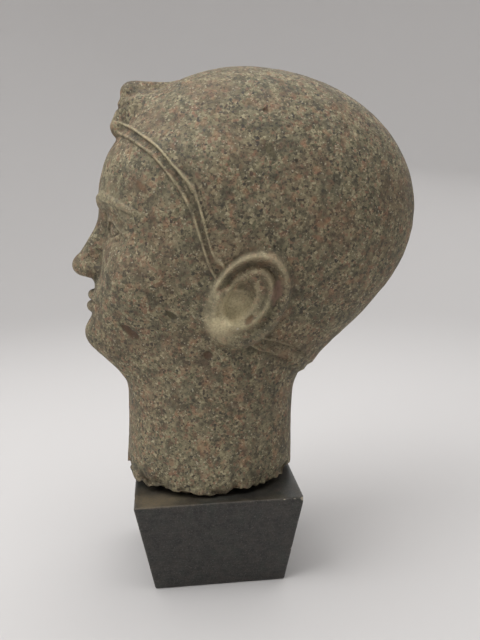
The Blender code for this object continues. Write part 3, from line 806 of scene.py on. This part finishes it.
def recesses(mesh, points):
    """How hollow the surface is round each point: one over the hollow's radius in millimetres."""
    ends = np.empty(len(mesh.edges) * 2, np.int32)
    mesh.edges.foreach_get("vertices", ends)
    first, second = ends.reshape(-1, 2).T
    normals = np.empty(len(points) * 3, np.float32)
    mesh.vertices.foreach_get("normal", normals)
    count = np.maximum(np.bincount(ends, minlength=len(points)), 1)

    def mean_round(values):
        there = np.bincount(first, values[second], len(points))
        return (there + np.bincount(second, values[first], len(points))) / count

    points = points * MILLIMETRES
    length = np.linalg.norm(points[first] - points[second], axis=1)
    spread = np.bincount(first, length, len(points)) + np.bincount(second, length, len(points))
    spread = (spread / count) ** 2
    smoothed = list(points.T)
    for _ in range(RECESS_STEPS):
        smoothed = [mean_round(values) for values in smoothed]
        spread = mean_round(spread)
    depth = ((np.stack(smoothed, axis=1) - points) * normals.reshape(-1, 3)).sum(axis=1)
    return depth * 4 / (RECESS_STEPS * spread)


def carve_head(height, triangles):
    """The head as an object, thinned where the stone is smooth."""
    rings, crown, foot = head_points()
    points = np.concatenate([rings.reshape(-1, 3), crown, foot]) * height / UNITS
    points[:, 2] += HEAD_FOOT
    mesh = bpy.data.meshes.new("fine head")
    mesh.from_pydata(points.tolist(), [], grid_faces(len(rings), COLUMNS))
    mesh.update()
    rough_out = bpy.data.objects.new("fine head", mesh)
    bpy.context.scene.collection.objects.link(rough_out)
    thin = rough_out.modifiers.new("thin out", "DECIMATE")
    thin.ratio = triangles / (2 * COLUMNS * len(rings))
    graph = bpy.context.evaluated_depsgraph_get()
    carved = bpy.data.meshes.new_from_object(rough_out.evaluated_get(graph))
    bpy.data.objects.remove(rough_out)
    bpy.data.meshes.remove(mesh)
    kept = read_points(carved)
    kept[:, 2] -= HEAD_FOOT
    dust, broken, tint = surface_marks(kept * UNITS / height)
    write_values(carved, "dust", dust)
    write_values(carved, "broken", broken)
    write_values(carved, "mark", tint)
    # How hollow the surface is: the granite uses it for painted shade in the hollows and a painted highlight
    # on what stands out.
    write_values(carved, "recess", recesses(carved, kept))
    return add_object("stone_head", carved)


def read_points(mesh):
    """The mesh's points, as rows of three numbers in metres."""
    flat = np.empty(len(mesh.vertices) * 3, np.float32)
    mesh.vertices.foreach_get("co", flat)
    return flat.reshape(-1, 3).astype(float)


def write_values(mesh, name, values):
    """Stores one number or one colour for each point of the mesh."""
    kind, field = ("FLOAT_COLOR", "color") if values.ndim == 2 else ("FLOAT", "value")
    attribute = mesh.attributes.new(name, kind, "POINT")
    attribute.data.foreach_set(field, values.astype(np.float32).ravel())


def add_object(name, mesh):
    """The mesh as a named object in the scene, smoothly shaded."""
    mesh.name = name
    mesh.shade_smooth()
    made = bpy.data.objects.new(name, mesh)
    bpy.context.scene.collection.objects.link(made)
    return made


# The block: how its faces are divided, and in metres how deep and how far wear, chips and dents go.
BLOCK_CELLS = 108
BLOCK_EDGE_CELLS = 4
EDGE_WEAR = 0.00045
EDGE_WEAR_REACH = 0.0022
PAINT_WEAR_REACH = 0.0016
CHIP_RADIUS = 0.0016
CHIP_DEPTH = 0.0009
DENT_DEPTH = 0.00006
# Dust at the top's front corner on the face's side: its place and reach in millimetres.
DUSTY_CORNER = ((47, -40), (12, 17))
# Chips on the top edges: shares of the half width, and size. Then the upright edges: side, height, size.
TOP_CHIPS = (
    (1.0, 1.0, 1.4), (1.0, 0.88, 0.6), (1.0, 0.76, 0.65), (1.0, 0.56, 0.45), (1.0, 0.36, 0.45),
    (-1.0, 0.4, 0.8), (0.2, -1.0, 0.6), (-0.4, 1.0, 0.7),
)
EDGE_CHIPS = ((1, 1, 0.044, 0.5), (1, 1, 0.024, 0.7), (-1, 1, 0.033, 0.6), (-1, -1, 0.05, 0.5))


def stations(half, radius, cells):
    """Places from -half to half, crowded in the rounded edges."""
    inner = np.linspace(radius - half, half - radius, cells + 1)
    turn = np.linspace(0, math.pi / 2, BLOCK_EDGE_CELLS + 1)[1:]
    outer = half - radius + radius * np.sin(turn)
    return np.concatenate([-outer[::-1], inner, outer])


def block_mesh(look):
    """A box of quads round a cube of stations, still straight and sharp."""
    half = look.top_width / 2
    wide = stations(half, look.edge_radius, BLOCK_CELLS)
    tall = stations(look.height / 2, look.edge_radius, BLOCK_CELLS * 2 // 3)
    shape = bmesh.new()
    for axis in range(3):
        first, second = [wide, wide, tall][axis - 2], [wide, wide, tall][axis - 1]
        reach = (half, half, look.height / 2)[axis]
        for end in (-reach, reach):
            rows = []
            for u in first:
                row = []
                for v in second:
                    place = [0.0, 0.0, 0.0]
                    place[axis], place[axis - 2], place[axis - 1] = end, u, v
                    row.append(shape.verts.new(place))
                rows.append(row)
            for below, above in zip(rows, rows[1:]):
                for a, b, c, d in zip(below, below[1:], above[1:], above):
                    shape.faces.new((a, b, c, d) if end > 0 else (d, c, b, a))
    bmesh.ops.remove_doubles(shape, verts=shape.verts, dist=1e-7)
    mesh = bpy.data.meshes.new("block")
    shape.to_mesh(mesh)
    shape.free()
    return mesh


def build_block(look):
    """The block as an object: rounded, tapered, and worn at its edges."""
    mesh = block_mesh(look)
    square = read_points(mesh)
    half = np.array([look.top_width / 2, look.top_width / 2, look.height / 2])
    core = np.clip(square, look.edge_radius - half, half - look.edge_radius)
    corner = square - core
    length = np.linalg.norm(corner, axis=1, keepdims=True)
    direction = corner / np.maximum(length, 1e-9)
    edges = np.sort(half - np.abs(square), axis=1)[:, 1]
    x, y, z = (square * MILLIMETRES).T
    rough = 0.5 + 0.5 * uneven(x, y, z, 5.0, 51) * uneven(x, y, z, 1.8, 52)
    worn = EDGE_WEAR * np.clip(rough, 0, 1) * (1 - rise(edges, 0, EDGE_WEAR_REACH))
    chips = [(chip_x, chip_y, look.height, size) for chip_x, chip_y, size in TOP_CHIPS]
    chipped = np.zeros(len(square))
    for chip_x, chip_y, chip_z, size in (*chips, *EDGE_CHIPS):
        off = square - np.array([chip_x * half[0], chip_y * half[1], chip_z - half[2]])
        off = np.linalg.norm(off, axis=1)
        chipped = np.maximum(chipped, size * hump(off, CHIP_RADIUS * size))
    dents = DENT_DEPTH * (uneven(x, y, z, 14.0, 53) - 1)
    reach = look.edge_radius - worn - CHIP_DEPTH * chipped + dents
    points = core + direction * reach[:, None]
    share = (points[:, 2] + half[2]) / look.height
    width = look.foot_width + (look.top_width - look.foot_width) * share
    points[:, :2] *= (width / look.top_width)[:, None]
    points[:, 2] += half[2]
    points[:, 2] = np.maximum(points[:, 2], 0)
    mesh.vertices.foreach_set("co", points.astype(np.float32).ravel())
    # Paler paint along the edges: worn through, and a painted highlight, strongest on the -Y side towards the
    # main light.
    edge_wear_and_highlight = (1 - rise(edges, 0.0, PAINT_WEAR_REACH)) * np.clip(rough * 1.4 - 0.2, 0, 1)
    edge_wear_and_highlight = edge_wear_and_highlight * (0.35 + 0.65 * (1 - rise(y, -14, 12)))
    write_values(mesh, "worn", np.clip(edge_wear_and_highlight, 0, 1))
    write_values(mesh, "chipped", np.clip(chipped * 1.3, 0, 1))
    write_values(mesh, "dust", top_dust(points, half))
    return add_object("painted_block", mesh)


def top_dust(points, half):
    """Dust that lies on the top, thickest at the front corner on the face's side."""
    (middle_x, middle_y), (wide, long) = DUSTY_CORNER
    x, y, z = (points * MILLIMETRES).T
    top = rise(points[:, 2], 2 * half[2] - 0.0012, 2 * half[2] - 0.0002)
    corner = hump(x - middle_x, wide) * hump(y - middle_y, long)
    film = 0.08 + 0.16 * uneven(x, y, z, 9.0, 61) + 0.08 * uneven(x, y, z, 3.0, 62)
    return np.clip(top * (film + 1.3 * corner * (0.8 + 0.4 * uneven(x, y, z, 6.0, 63))), 0, 1)


def linear(colour):
    """A colour in hex, as a screen shows it, turned into linear light."""
    shown = np.array([int(colour[i : i + 2], 16) for i in (1, 3, 5)]) / 255
    return np.where(shown <= 0.04045, shown / 12.92, ((shown + 0.055) / 1.055) ** 2.4)


def rgba(colour):
    """A colour in hex as four numbers in linear light, opaque."""
    return (*[float(value) for value in linear(colour)], 1.0)


def put(tree, kind, settings, **inputs):
    """Adds a node, with its settings, and its inputs as values or as links from other nodes."""
    made = tree.nodes.new(kind)
    for name, value in settings.items():
        setattr(made, name, value)
    for name, value in inputs.items():
        place = int(name[1:]) if name[0] == "i" and name[1:].isdigit() else name.replace("_", " ")
        socket = made.inputs[place]
        if isinstance(value, bpy.types.NodeSocket):
            tree.links.new(value, socket)
        else:
            socket.default_value = value
    return made.outputs


def new_material(name):
    """(material, its node tree, its Principled shader, the place in millimetres)."""
    material = bpy.data.materials.new(name)
    material.use_nodes = True
    tree = material.node_tree
    shader = tree.nodes["Principled BSDF"]
    place = put(tree, "ShaderNodeTexCoord", {})["Object"]
    inputs = {"i0": place, "Scale": float(MILLIMETRES)}
    place = put(tree, "ShaderNodeVectorMath", {"operation": "SCALE"}, **inputs)[0]
    return material, tree, shader, place


def lay(tree, colour, *coats):
    """Lays coats over a colour: what shows each, where it starts and is full, its strength and colour."""
    for shown, start, full, strength, over in coats:
        share = put(tree, "ShaderNodeMapRange", {}, i0=shown, i1=start, i2=full, i4=strength)[0]
        colour = put(tree, "ShaderNodeMix", {"data_type": "RGBA"}, i0=share, i6=colour, i7=over)[2]
    return colour


# The granite's minerals: colour and share of the grains, from the commonest.
MINERALS = (
    ("#8a8266", 0.25),
    ("#736b53", 0.24),
    ("#9a9174", 0.11),
    ("#826751", 0.12),
    ("#5e5c43", 0.12),
    ("#4d4736", 0.10),
    ("#38332a", 0.06),
)
# Feldspars and flakes of mica, as wide as so many grains.
FELDSPAR = 2.4
FLAKE = 0.55
# Clouds in the granite: width in millimetres, detail, output of the noise, where each starts and is
# full, strength and colour. They are iron stains, greener, darker, paler and browner stone.
CLOUDS = (
    (7.0, 1.5, "Fac", 0.60, 0.70, 0.40, "#96694c"),
    (10.0, 3.0, "Fac", 0.45, 0.68, 0.60, "#454233"),
    (5.5, 2.0, "Fac", 0.50, 0.64, 0.60, "#3f3b2e"),
    (8.0, 2.0, "Color", 0.52, 0.68, 0.28, "#a1977a"),
    (25.0, 2.0, "Fac", 0.48, 0.68, 0.22, "#7b5d46"),
)


def granite(look):
    """Granite, medium grained, pecked and rubbed dry with stone: a dull face of grains 1 to 2 mm
    wide in tan, grey, pink and olive with dark flecks, clouded over a few centimetres, with pale
    dust in what was carved last. Painted shade darkens its hollows, and a painted highlight pales
    what stands out and the band's raised lines."""
    material, tree, shader, place = new_material("granite, pecked and rubbed")
    grain = look.grain * MILLIMETRES

    # Grains have crooked outlines, so the place is shifted by about a third of a grain.
    inputs = {"Vector": place, "Scale": 1 / (grain * 0.8), "Detail": 2.0}
    shift = put(tree, "ShaderNodeTexNoise", {}, **inputs)["Color"]
    inputs = {"i0": shift, "i1": (grain * 0.9,) * 3, "i2": place}
    crooked = put(tree, "ShaderNodeVectorMath", {"operation": "MULTIPLY_ADD"}, **inputs)[0]
    cells = []
    for width in (grain, grain * FELDSPAR, grain * FLAKE):
        inputs = {"Vector": crooked, "Scale": 1 / width, "Smoothness": 0.4}
        cell = put(tree, "ShaderNodeTexVoronoi", {"feature": "SMOOTH_F1"}, **inputs)
        parts = put(tree, "ShaderNodeSeparateColor", {}, Color=cell["Color"])
        cells.append((cell["Distance"], parts[0], parts[1]))
    (reach, kind, shade), (_, large, _), (_, fleck, _) = cells

    # Each grain is of one mineral, and a little lighter or darker than the next.
    colour, start = rgba(MINERALS[0][0]), 0.0
    for (mineral, _), (_, share) in zip(MINERALS[1:], MINERALS):
        start += share
        beyond = put(tree, "ShaderNodeMath", {"operation": "GREATER_THAN"}, i0=kind, i1=start)[0]
        inputs = {"i0": beyond, "i6": colour, "i7": rgba(mineral)}
        colour = put(tree, "ShaderNodeMix", {"data_type": "RGBA"}, **inputs)[2]
    brightness = put(tree, "ShaderNodeMapRange", {}, i0=shade, i3=0.80, i4=1.18)[0]
    settings = {"data_type": "RGBA", "blend_type": "MULTIPLY"}
    colour = put(tree, "ShaderNodeMix", settings, i0=1.0, i6=colour, i7=brightness)[2]

    # Large pink feldspars, 3 to 4 mm, one in seven.
    colour = lay(tree, colour, (large, 0.80, 0.90, 0.42, rgba("#8d664e")))
    for width, detail, output, start, full, strength, tone in CLOUDS:
        inputs = {"Vector": place, "Scale": 1 / width, "Detail": detail}
        cloud = put(tree, "ShaderNodeTexNoise", {}, **inputs)[output]
        colour = lay(tree, colour, (cloud, start, full, strength, rgba(tone)))

    # Pecking leaves pits of half a millimetre, too fine for the picture, so they are drawn 1.1 mm wide.
    inputs = {"Vector": place, "Scale": 1 / 1.1, "Detail": 3.0, "Roughness": 0.6}
    pits = put(tree, "ShaderNodeTexNoise", {}, **inputs)["Fac"]
    flakes = put(tree, "ShaderNodeMapRange", {}, i0=fleck, i1=0.80, i2=0.92)[0]
    recess, dust, mark, broken = (
        put(tree, "ShaderNodeAttribute", {"attribute_name": name})
        for name in ("recess", "dust", "mark", "broken")
    )
    patches = put(tree, "ShaderNodeMapRange", {}, i0=pits, i1=0.3, i2=0.6, i3=0.55, i4=1.0)[0]
    dusty = put(tree, "ShaderNodeMath", {"operation": "MULTIPLY"}, i0=dust["Fac"], i1=patches)[0]
    # Dark mica and a few bright grains of 0.9 mm, painted shade in the recesses, painted highlight on
    # what stands out, dust of the stone itself where it was carved, coloured marks and the browner break.
    colour = lay(
        tree, colour,
        (flakes, 0.0, 1.0, 0.6, rgba("#2c2820")),
        (fleck, 0.07, 0.02, 0.5, rgba("#bdb59c")),
        (recess["Fac"], 0.014, 0.12, 0.45, rgba("#37301f")),
        (recess["Fac"], -0.06, -0.22, 0.15, rgba("#a3977a")),
        # Dust, with the painted highlight on the band's raised lines and the ear's top rim.
        (dusty, 0.0, 1.0, look.dust, rgba(DUST)),
        (mark["Alpha"], 0.0, 1.0, 0.75, mark["Color"]),
        (broken["Fac"], 0.0, 1.0, 0.15, rgba("#5a5142")),
    )
    tree.links.new(colour, shader.inputs["Base Color"])
    # The granite's quartz is glassy and its weathered feldspar dull, so the sheen goes by the mineral.
    sheen = put(tree, "ShaderNodeMapRange", {}, i0=kind, i3=0.86, i4=0.66)[0]
    tree.links.new(sheen, shader.inputs["Roughness"])
    shader.inputs["IOR"].default_value = 1.54

    # The height in millimetres: grains stand apart by a tenth, and flakes have fallen out.
    height = 0.0
    for shown, depth in ((pits, 0.22), (reach, -0.16), (flakes, -0.12), (shade, 0.08)):
        inputs = {"i0": shown, "i1": depth, "i2": height}
        height = put(tree, "ShaderNodeMath", {"operation": "MULTIPLY_ADD"}, **inputs)[0]
    bump = put(tree, "ShaderNodeBump", {}, Strength=1.0, Distance=1 / MILLIMETRES, Height=height)
    tree.links.new(bump[0], shader.inputs["Normal"])
    return material


def black_paint(look):
    """Black oil paint brushed on a hardwood block and rubbed by handling: a dull sheen in faint
    streaks, brown where the edges wore through with a painted highlight along them, strongest on the
    side towards the main light, bare pale wood in the chips and brown dust on top."""
    material, tree, shader, place = new_material("black paint, brushed on hardwood")

    # Brush strokes run across the block, twelve times as long as they are wide. Bristles leave marks
    # a third of a millimetre apart, too fine for the picture, so the strokes are drawn 0.9 mm apart.
    inputs = {"i0": place, "i1": (0.08, 0.08, 1.0)}
    squeezed = put(tree, "ShaderNodeVectorMath", {"operation": "MULTIPLY"}, **inputs)[0]
    # Mottled paint, greener patches, strokes, grain and specks: where, width in millimetres, detail,
    # where each starts and is full, strength and colour.
    coats = (
        (place, 5.0, 3.0, 0.40, 0.65, 1.0, "#312c28"),
        (place, 11.0, 2.0, 0.50, 0.70, 0.5, "#2c322b"),
        (squeezed, 0.9, 3.0, 0.48, 0.66, 0.3, "#45423d"),
        (place, 1.3, 4.0, 0.42, 0.60, 0.27, "#464743"),
        (place, 0.8, 2.0, 0.60, 0.70, 0.45, "#65625b"),
    )
    colour, noises = (*look.paint, 1.0), []
    for where, width, detail, start, full, strength, tone in coats:
        inputs = {"Vector": where, "Scale": 1 / width, "Detail": detail}
        noises.append(put(tree, "ShaderNodeTexNoise", {}, **inputs)["Fac"])
        colour = lay(tree, colour, (noises[-1], start, full, strength, rgba(tone)))
    mottle, _, strokes, _, _ = noises

    # Wear, with the painted highlight along the edges, and dust come in patches of about 2 mm.
    worn, chipped, dust = (
        put(tree, "ShaderNodeAttribute", {"attribute_name": name})["Fac"]
        for name in ("worn", "chipped", "dust")
    )
    patches = []
    for shown, width, start, full, least in ((worn, 2.2, 0.38, 0.62, 0.0), (dust, 1.6, 0.3, 0.6, 0.5)):
        inputs = {"Vector": place, "Scale": 1 / width, "Detail": 3.0}
        noise = put(tree, "ShaderNodeTexNoise", {}, **inputs)["Fac"]
        patch = put(tree, "ShaderNodeMapRange", {}, i0=noise, i1=start, i2=full, i3=least)[0]
        patches.append(put(tree, "ShaderNodeMath", {"operation": "MULTIPLY"}, i0=shown, i1=patch)[0])
    rubbed, film = patches
    colour = lay(
        tree, colour,
        (rubbed, 0.0, 1.0, 0.75, rgba("#6b6257")),
        (chipped, 0.35, 0.75, 1.0, rgba("#b3a894")),
        (film, 0.0, 1.0, 0.75, rgba("#6e614a")),
    )
    tree.links.new(colour, shader.inputs["Base Color"])
    # The paint shines along its strokes, and the dust on it is dull.
    sheen = put(tree, "ShaderNodeMapRange", {}, i0=strokes, i1=0.3, i2=0.7, i3=0.32, i4=0.46)[0]
    inputs = {"i0": film, "i1": 0.35, "i2": sheen}
    sheen = put(tree, "ShaderNodeMath", {"operation": "MULTIPLY_ADD"}, **inputs)[0]
    tree.links.new(sheen, shader.inputs["Roughness"])
    shader.inputs["IOR"].default_value = 1.48
    height = 0.0
    for shown, depth in ((mottle, 0.08), (strokes, 0.05)):
        inputs = {"i0": shown, "i1": depth, "i2": height}
        height = put(tree, "ShaderNodeMath", {"operation": "MULTIPLY_ADD"}, **inputs)[0]
    bump = put(tree, "ShaderNodeBump", {}, Strength=1.0, Distance=1 / MILLIMETRES, Height=height)
    tree.links.new(bump[0], shader.inputs["Normal"])
    return material


# The stage: a floor that curves up into a wall all round, so that every side has the same backdrop.
FLOOR_RADIUS = 0.9
CURVE_RADIUS = 0.9
WALL_TOP = 2.4
# How far from the middle the floor's colour starts to turn into the wall's, and where it has.
FLOOR_END, WALL_START = 0.3, 1.0
STAGE_SEGMENTS = 96
CURVE_SEGMENTS = 24

# The camera of the photograph: place in metres, angles in radians, and picture in pixels.
CAMERA_PLACE = (0.4571, -0.0324, 0.2609)
CAMERA_YAW = 0.1148
CAMERA_PITCH = 0.2002
CAMERA_ROLL = -0.015
FOCAL_PIXELS = 700
PICTURE_HEIGHT = 640
SENSOR = 36.0

# Soft boxes: place, width in metres and power in watts for a light strength of 1.
SOFT_BOXES = (
    ((0.40, -0.88, 1.15), 1.0, 10.6),
    ((0.0, 0.0, 1.7), 1.7, 18.4),
    ((-0.9, 0.7, 0.9), 1.2, 3.4),
)
ROOM_COLOUR = "#f4f3f2"
ROOM_LIGHT = 0.59


def build_backdrop(look):
    """Floor, curve and wall as one bowl of quads round the object."""
    radii, heights = [0.05, FLOOR_RADIUS * 0.5], [0.0, 0.0]
    for step in range(CURVE_SEGMENTS + 1):
        turn = math.pi / 2 * step / CURVE_SEGMENTS
        radii.append(FLOOR_RADIUS + CURVE_RADIUS * math.sin(turn))
        heights.append(CURVE_RADIUS * (1 - math.cos(turn)))
    radii.append(radii[-1])
    heights.append(WALL_TOP)
    shape = bmesh.new()
    rows = []
    for radius, z in zip(radii, heights):
        row = []
        for step in range(STAGE_SEGMENTS):
            turn = 2 * math.pi * step / STAGE_SEGMENTS
            row.append(shape.verts.new((radius * math.cos(turn), radius * math.sin(turn), z)))
        rows.append(row)
    shape.faces.new(rows[0])
    for inner, outer in zip(rows, rows[1:]):
        for step in range(STAGE_SEGMENTS):
            after = (step + 1) % STAGE_SEGMENTS
            shape.faces.new((inner[step], outer[step], outer[after], inner[after]))
    mesh = bpy.data.meshes.new("backdrop")
    shape.to_mesh(mesh)
    shape.free()
    backdrop = add_object("backdrop", mesh)
    material = bpy.data.materials.new("seamless paper, matt")
    material.use_nodes = True
    tree = material.node_tree
    shader = tree.nodes["Principled BSDF"]
    place = put(tree, "ShaderNodeTexCoord", {})["Object"]
    reach = put(tree, "ShaderNodeVectorMath", {"operation": "LENGTH"}, i0=place)["Value"]
    inputs = {"i0": reach, "i1": FLOOR_END, "i2": WALL_START}
    away = put(tree, "ShaderNodeMapRange", {"interpolation_type": "SMOOTHSTEP"}, **inputs)[0]
    inputs = {"i0": away, "i6": (*look.floor, 1.0), "i7": (*look.wall, 1.0)}
    colour = put(tree, "ShaderNodeMix", {"data_type": "RGBA"}, **inputs)[2]
    tree.links.new(colour, shader.inputs["Base Color"])
    shader.inputs["Roughness"].default_value = 0.9
    shader.inputs["Specular IOR Level"].default_value = 0.2
    mesh.materials.append(material)
    return backdrop


def set_lights(look):
    """Three soft boxes aimed at the middle of the head, and the pale room's own light."""
    for place, width, power in SOFT_BOXES:
        lamp = bpy.data.lights.new("soft box", "AREA")
        lamp.energy = power * look.light
        lamp.size = width
        box = bpy.data.objects.new("soft box", lamp)
        bpy.context.scene.collection.objects.link(box)
        box.location = place
        aim = Vector(place) - Vector((0, 0, PLINTH_HEIGHT + HEAD_HEIGHT / 2))
        box.rotation_euler = aim.to_track_quat("Z", "Y").to_euler()
    world = bpy.data.worlds.new("pale room")
    bpy.context.scene.world = world
    world.use_nodes = True
    sky = world.node_tree.nodes["Background"]
    sky.inputs["Color"].default_value = rgba(ROOM_COLOUR)
    sky.inputs["Strength"].default_value = ROOM_LIGHT * look.light
    bpy.context.scene.view_settings.view_transform = "Standard"


def set_camera():
    """The camera where the photograph was taken from."""
    ahead = Vector((
        -math.cos(CAMERA_YAW) * math.cos(CAMERA_PITCH),
        math.sin(CAMERA_YAW) * math.cos(CAMERA_PITCH),
        -math.sin(CAMERA_PITCH),
    ))
    right = Vector((math.sin(CAMERA_YAW), math.cos(CAMERA_YAW), 0))
    right.rotate(Matrix.Rotation(-CAMERA_ROLL, 3, ahead))
    axes = Matrix((right, right.cross(ahead), -ahead)).transposed()
    lens = bpy.data.cameras.new("camera")
    lens.sensor_fit = "AUTO"
    lens.sensor_width = SENSOR
    lens.lens = SENSOR * FOCAL_PIXELS / PICTURE_HEIGHT
    lens.clip_start = 0.01
    camera = bpy.data.objects.new("camera", lens)
    bpy.context.scene.collection.objects.link(camera)
    camera.location = CAMERA_PLACE
    camera.rotation_euler = axes.to_euler()
    bpy.context.scene.camera = camera


class HeadLook(bpy.types.PropertyGroup):
    """Sizes and colours of the stone head."""

    height: bpy.props.FloatProperty(
        name="Height", description="From the break of the neck to the crown",
        default=HEAD_HEIGHT, min=0.02, unit="LENGTH",
    )
    triangles: bpy.props.IntProperty(
        name="Triangles", description="How many triangles are kept of the carved surface",
        default=HEAD_TRIANGLES, min=10000,
    )
    grain: bpy.props.FloatProperty(
        name="Grain", description="Width of the granite's grains",
        default=0.0016, min=0.0003, unit="LENGTH",
    )
    # The dust also sets the painted highlight on the band's raised lines and the ear's top rim.
    dust: bpy.props.FloatProperty(
        name="Dust", description="How much stone dust lies in the carving",
        default=0.8, min=0.0, max=1.0, subtype="FACTOR",
    )


class BlockLook(bpy.types.PropertyGroup):
    """Sizes and colours of the block."""

    top_width: bpy.props.FloatProperty(
        name="Top width", description="Width of the square top",
        default=PLINTH_TOP_WIDTH, min=0.02, unit="LENGTH",
    )
    foot_width: bpy.props.FloatProperty(
        name="Foot width", description="Width of the square underside",
        default=PLINTH_FOOT_WIDTH, min=0.02, unit="LENGTH",
    )
    height: bpy.props.FloatProperty(
        name="Height", description="From the table to the top",
        default=PLINTH_HEIGHT, min=0.01, unit="LENGTH",
    )
    edge_radius: bpy.props.FloatProperty(
        name="Edge radius", description="How far the edges are rounded by wear",
        default=PLINTH_EDGE_RADIUS, min=0.0002, unit="LENGTH",
    )
    paint: bpy.props.FloatVectorProperty(
        name="Paint", description="Colour of the black paint",
        default=tuple(linear("#1d1c1a")), size=3, min=0.0, max=1.0, subtype="COLOR",
    )


class StageLook(bpy.types.PropertyGroup):
    """Floor and light of the stage."""

    floor: bpy.props.FloatVectorProperty(
        name="Floor", description="Colour of the floor round the object",
        default=tuple(linear("#cbc9c8")), size=3, min=0.0, max=1.0, subtype="COLOR",
    )
    wall: bpy.props.FloatVectorProperty(
        name="Wall", description="Colour of the wall behind",
        default=tuple(linear("#bcbab9")), size=3, min=0.0, max=1.0, subtype="COLOR",
    )
    light: bpy.props.FloatProperty(
        name="Light", description="Strength of the soft boxes and the room's light",
        default=1.0, min=0.0,
    )


class CarveHead(bpy.types.Operator):
    """Carve the granite head in place of its solid"""

    bl_idname = "stone_head.carve"
    bl_label = "Carve the head"

    def execute(self, context):
        look = context.scene.head_look
        head = carve_head(look.height, look.triangles)
        head.data.materials.append(granite(look))
        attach(head, "root")
        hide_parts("head")
        return {"FINISHED"}


class MakeBlock(bpy.types.Operator):
    """Make the worn black block in place of its solid"""

    bl_idname = "stone_head.make_block"
    bl_label = "Make the block"

    def execute(self, context):
        look = context.scene.block_look
        block = build_block(look)
        block.data.materials.append(black_paint(look))
        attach(block, "root")
        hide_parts("plinth")
        return {"FINISHED"}


class SetStage(bpy.types.Operator):
    """Set the floor, the lights and the camera"""

    bl_idname = "stone_head.set_stage"
    bl_label = "Set the stage"

    def execute(self, context):
        look = context.scene.stage_look
        build_backdrop(look)
        set_lights(look)
        set_camera()
        return {"FINISHED"}


class StoneHeadPanel(bpy.types.Panel):
    """Lists the looks and the steps of the stone head"""

    bl_idname = "VIEW3D_PT_stone_head"
    bl_label = "Stone head"
    bl_space_type = "VIEW_3D"
    bl_region_type = "UI"
    bl_category = "Stone head"

    def draw(self, context):
        scene = context.scene
        for look, step in zip((scene.head_look, scene.block_look, scene.stage_look), STEPS):
            box = self.layout.box()
            for name in look.__annotations__:
                box.prop(look, name)
            box.operator(step.bl_idname)


STEPS = (CarveHead, MakeBlock, SetStage)
LOOKS = {"head_look": HeadLook, "block_look": BlockLook, "stage_look": StageLook}


def register():
    for made in (*LOOKS.values(), *STEPS, StoneHeadPanel):
        bpy.utils.register_class(made)
    for name, look in LOOKS.items():
        setattr(bpy.types.Scene, name, bpy.props.PointerProperty(type=look))


def unregister():
    for name in LOOKS:
        delattr(bpy.types.Scene, name)
    for made in (StoneHeadPanel, *reversed(STEPS), *reversed(LOOKS.values())):
        bpy.utils.unregister_class(made)


def main():
    """Makes the pieces and the stage."""
    register()
    bpy.ops.stone_head.carve()
    bpy.ops.stone_head.make_block()
    bpy.ops.stone_head.set_stage()


if __name__ == "__main__":
    main()
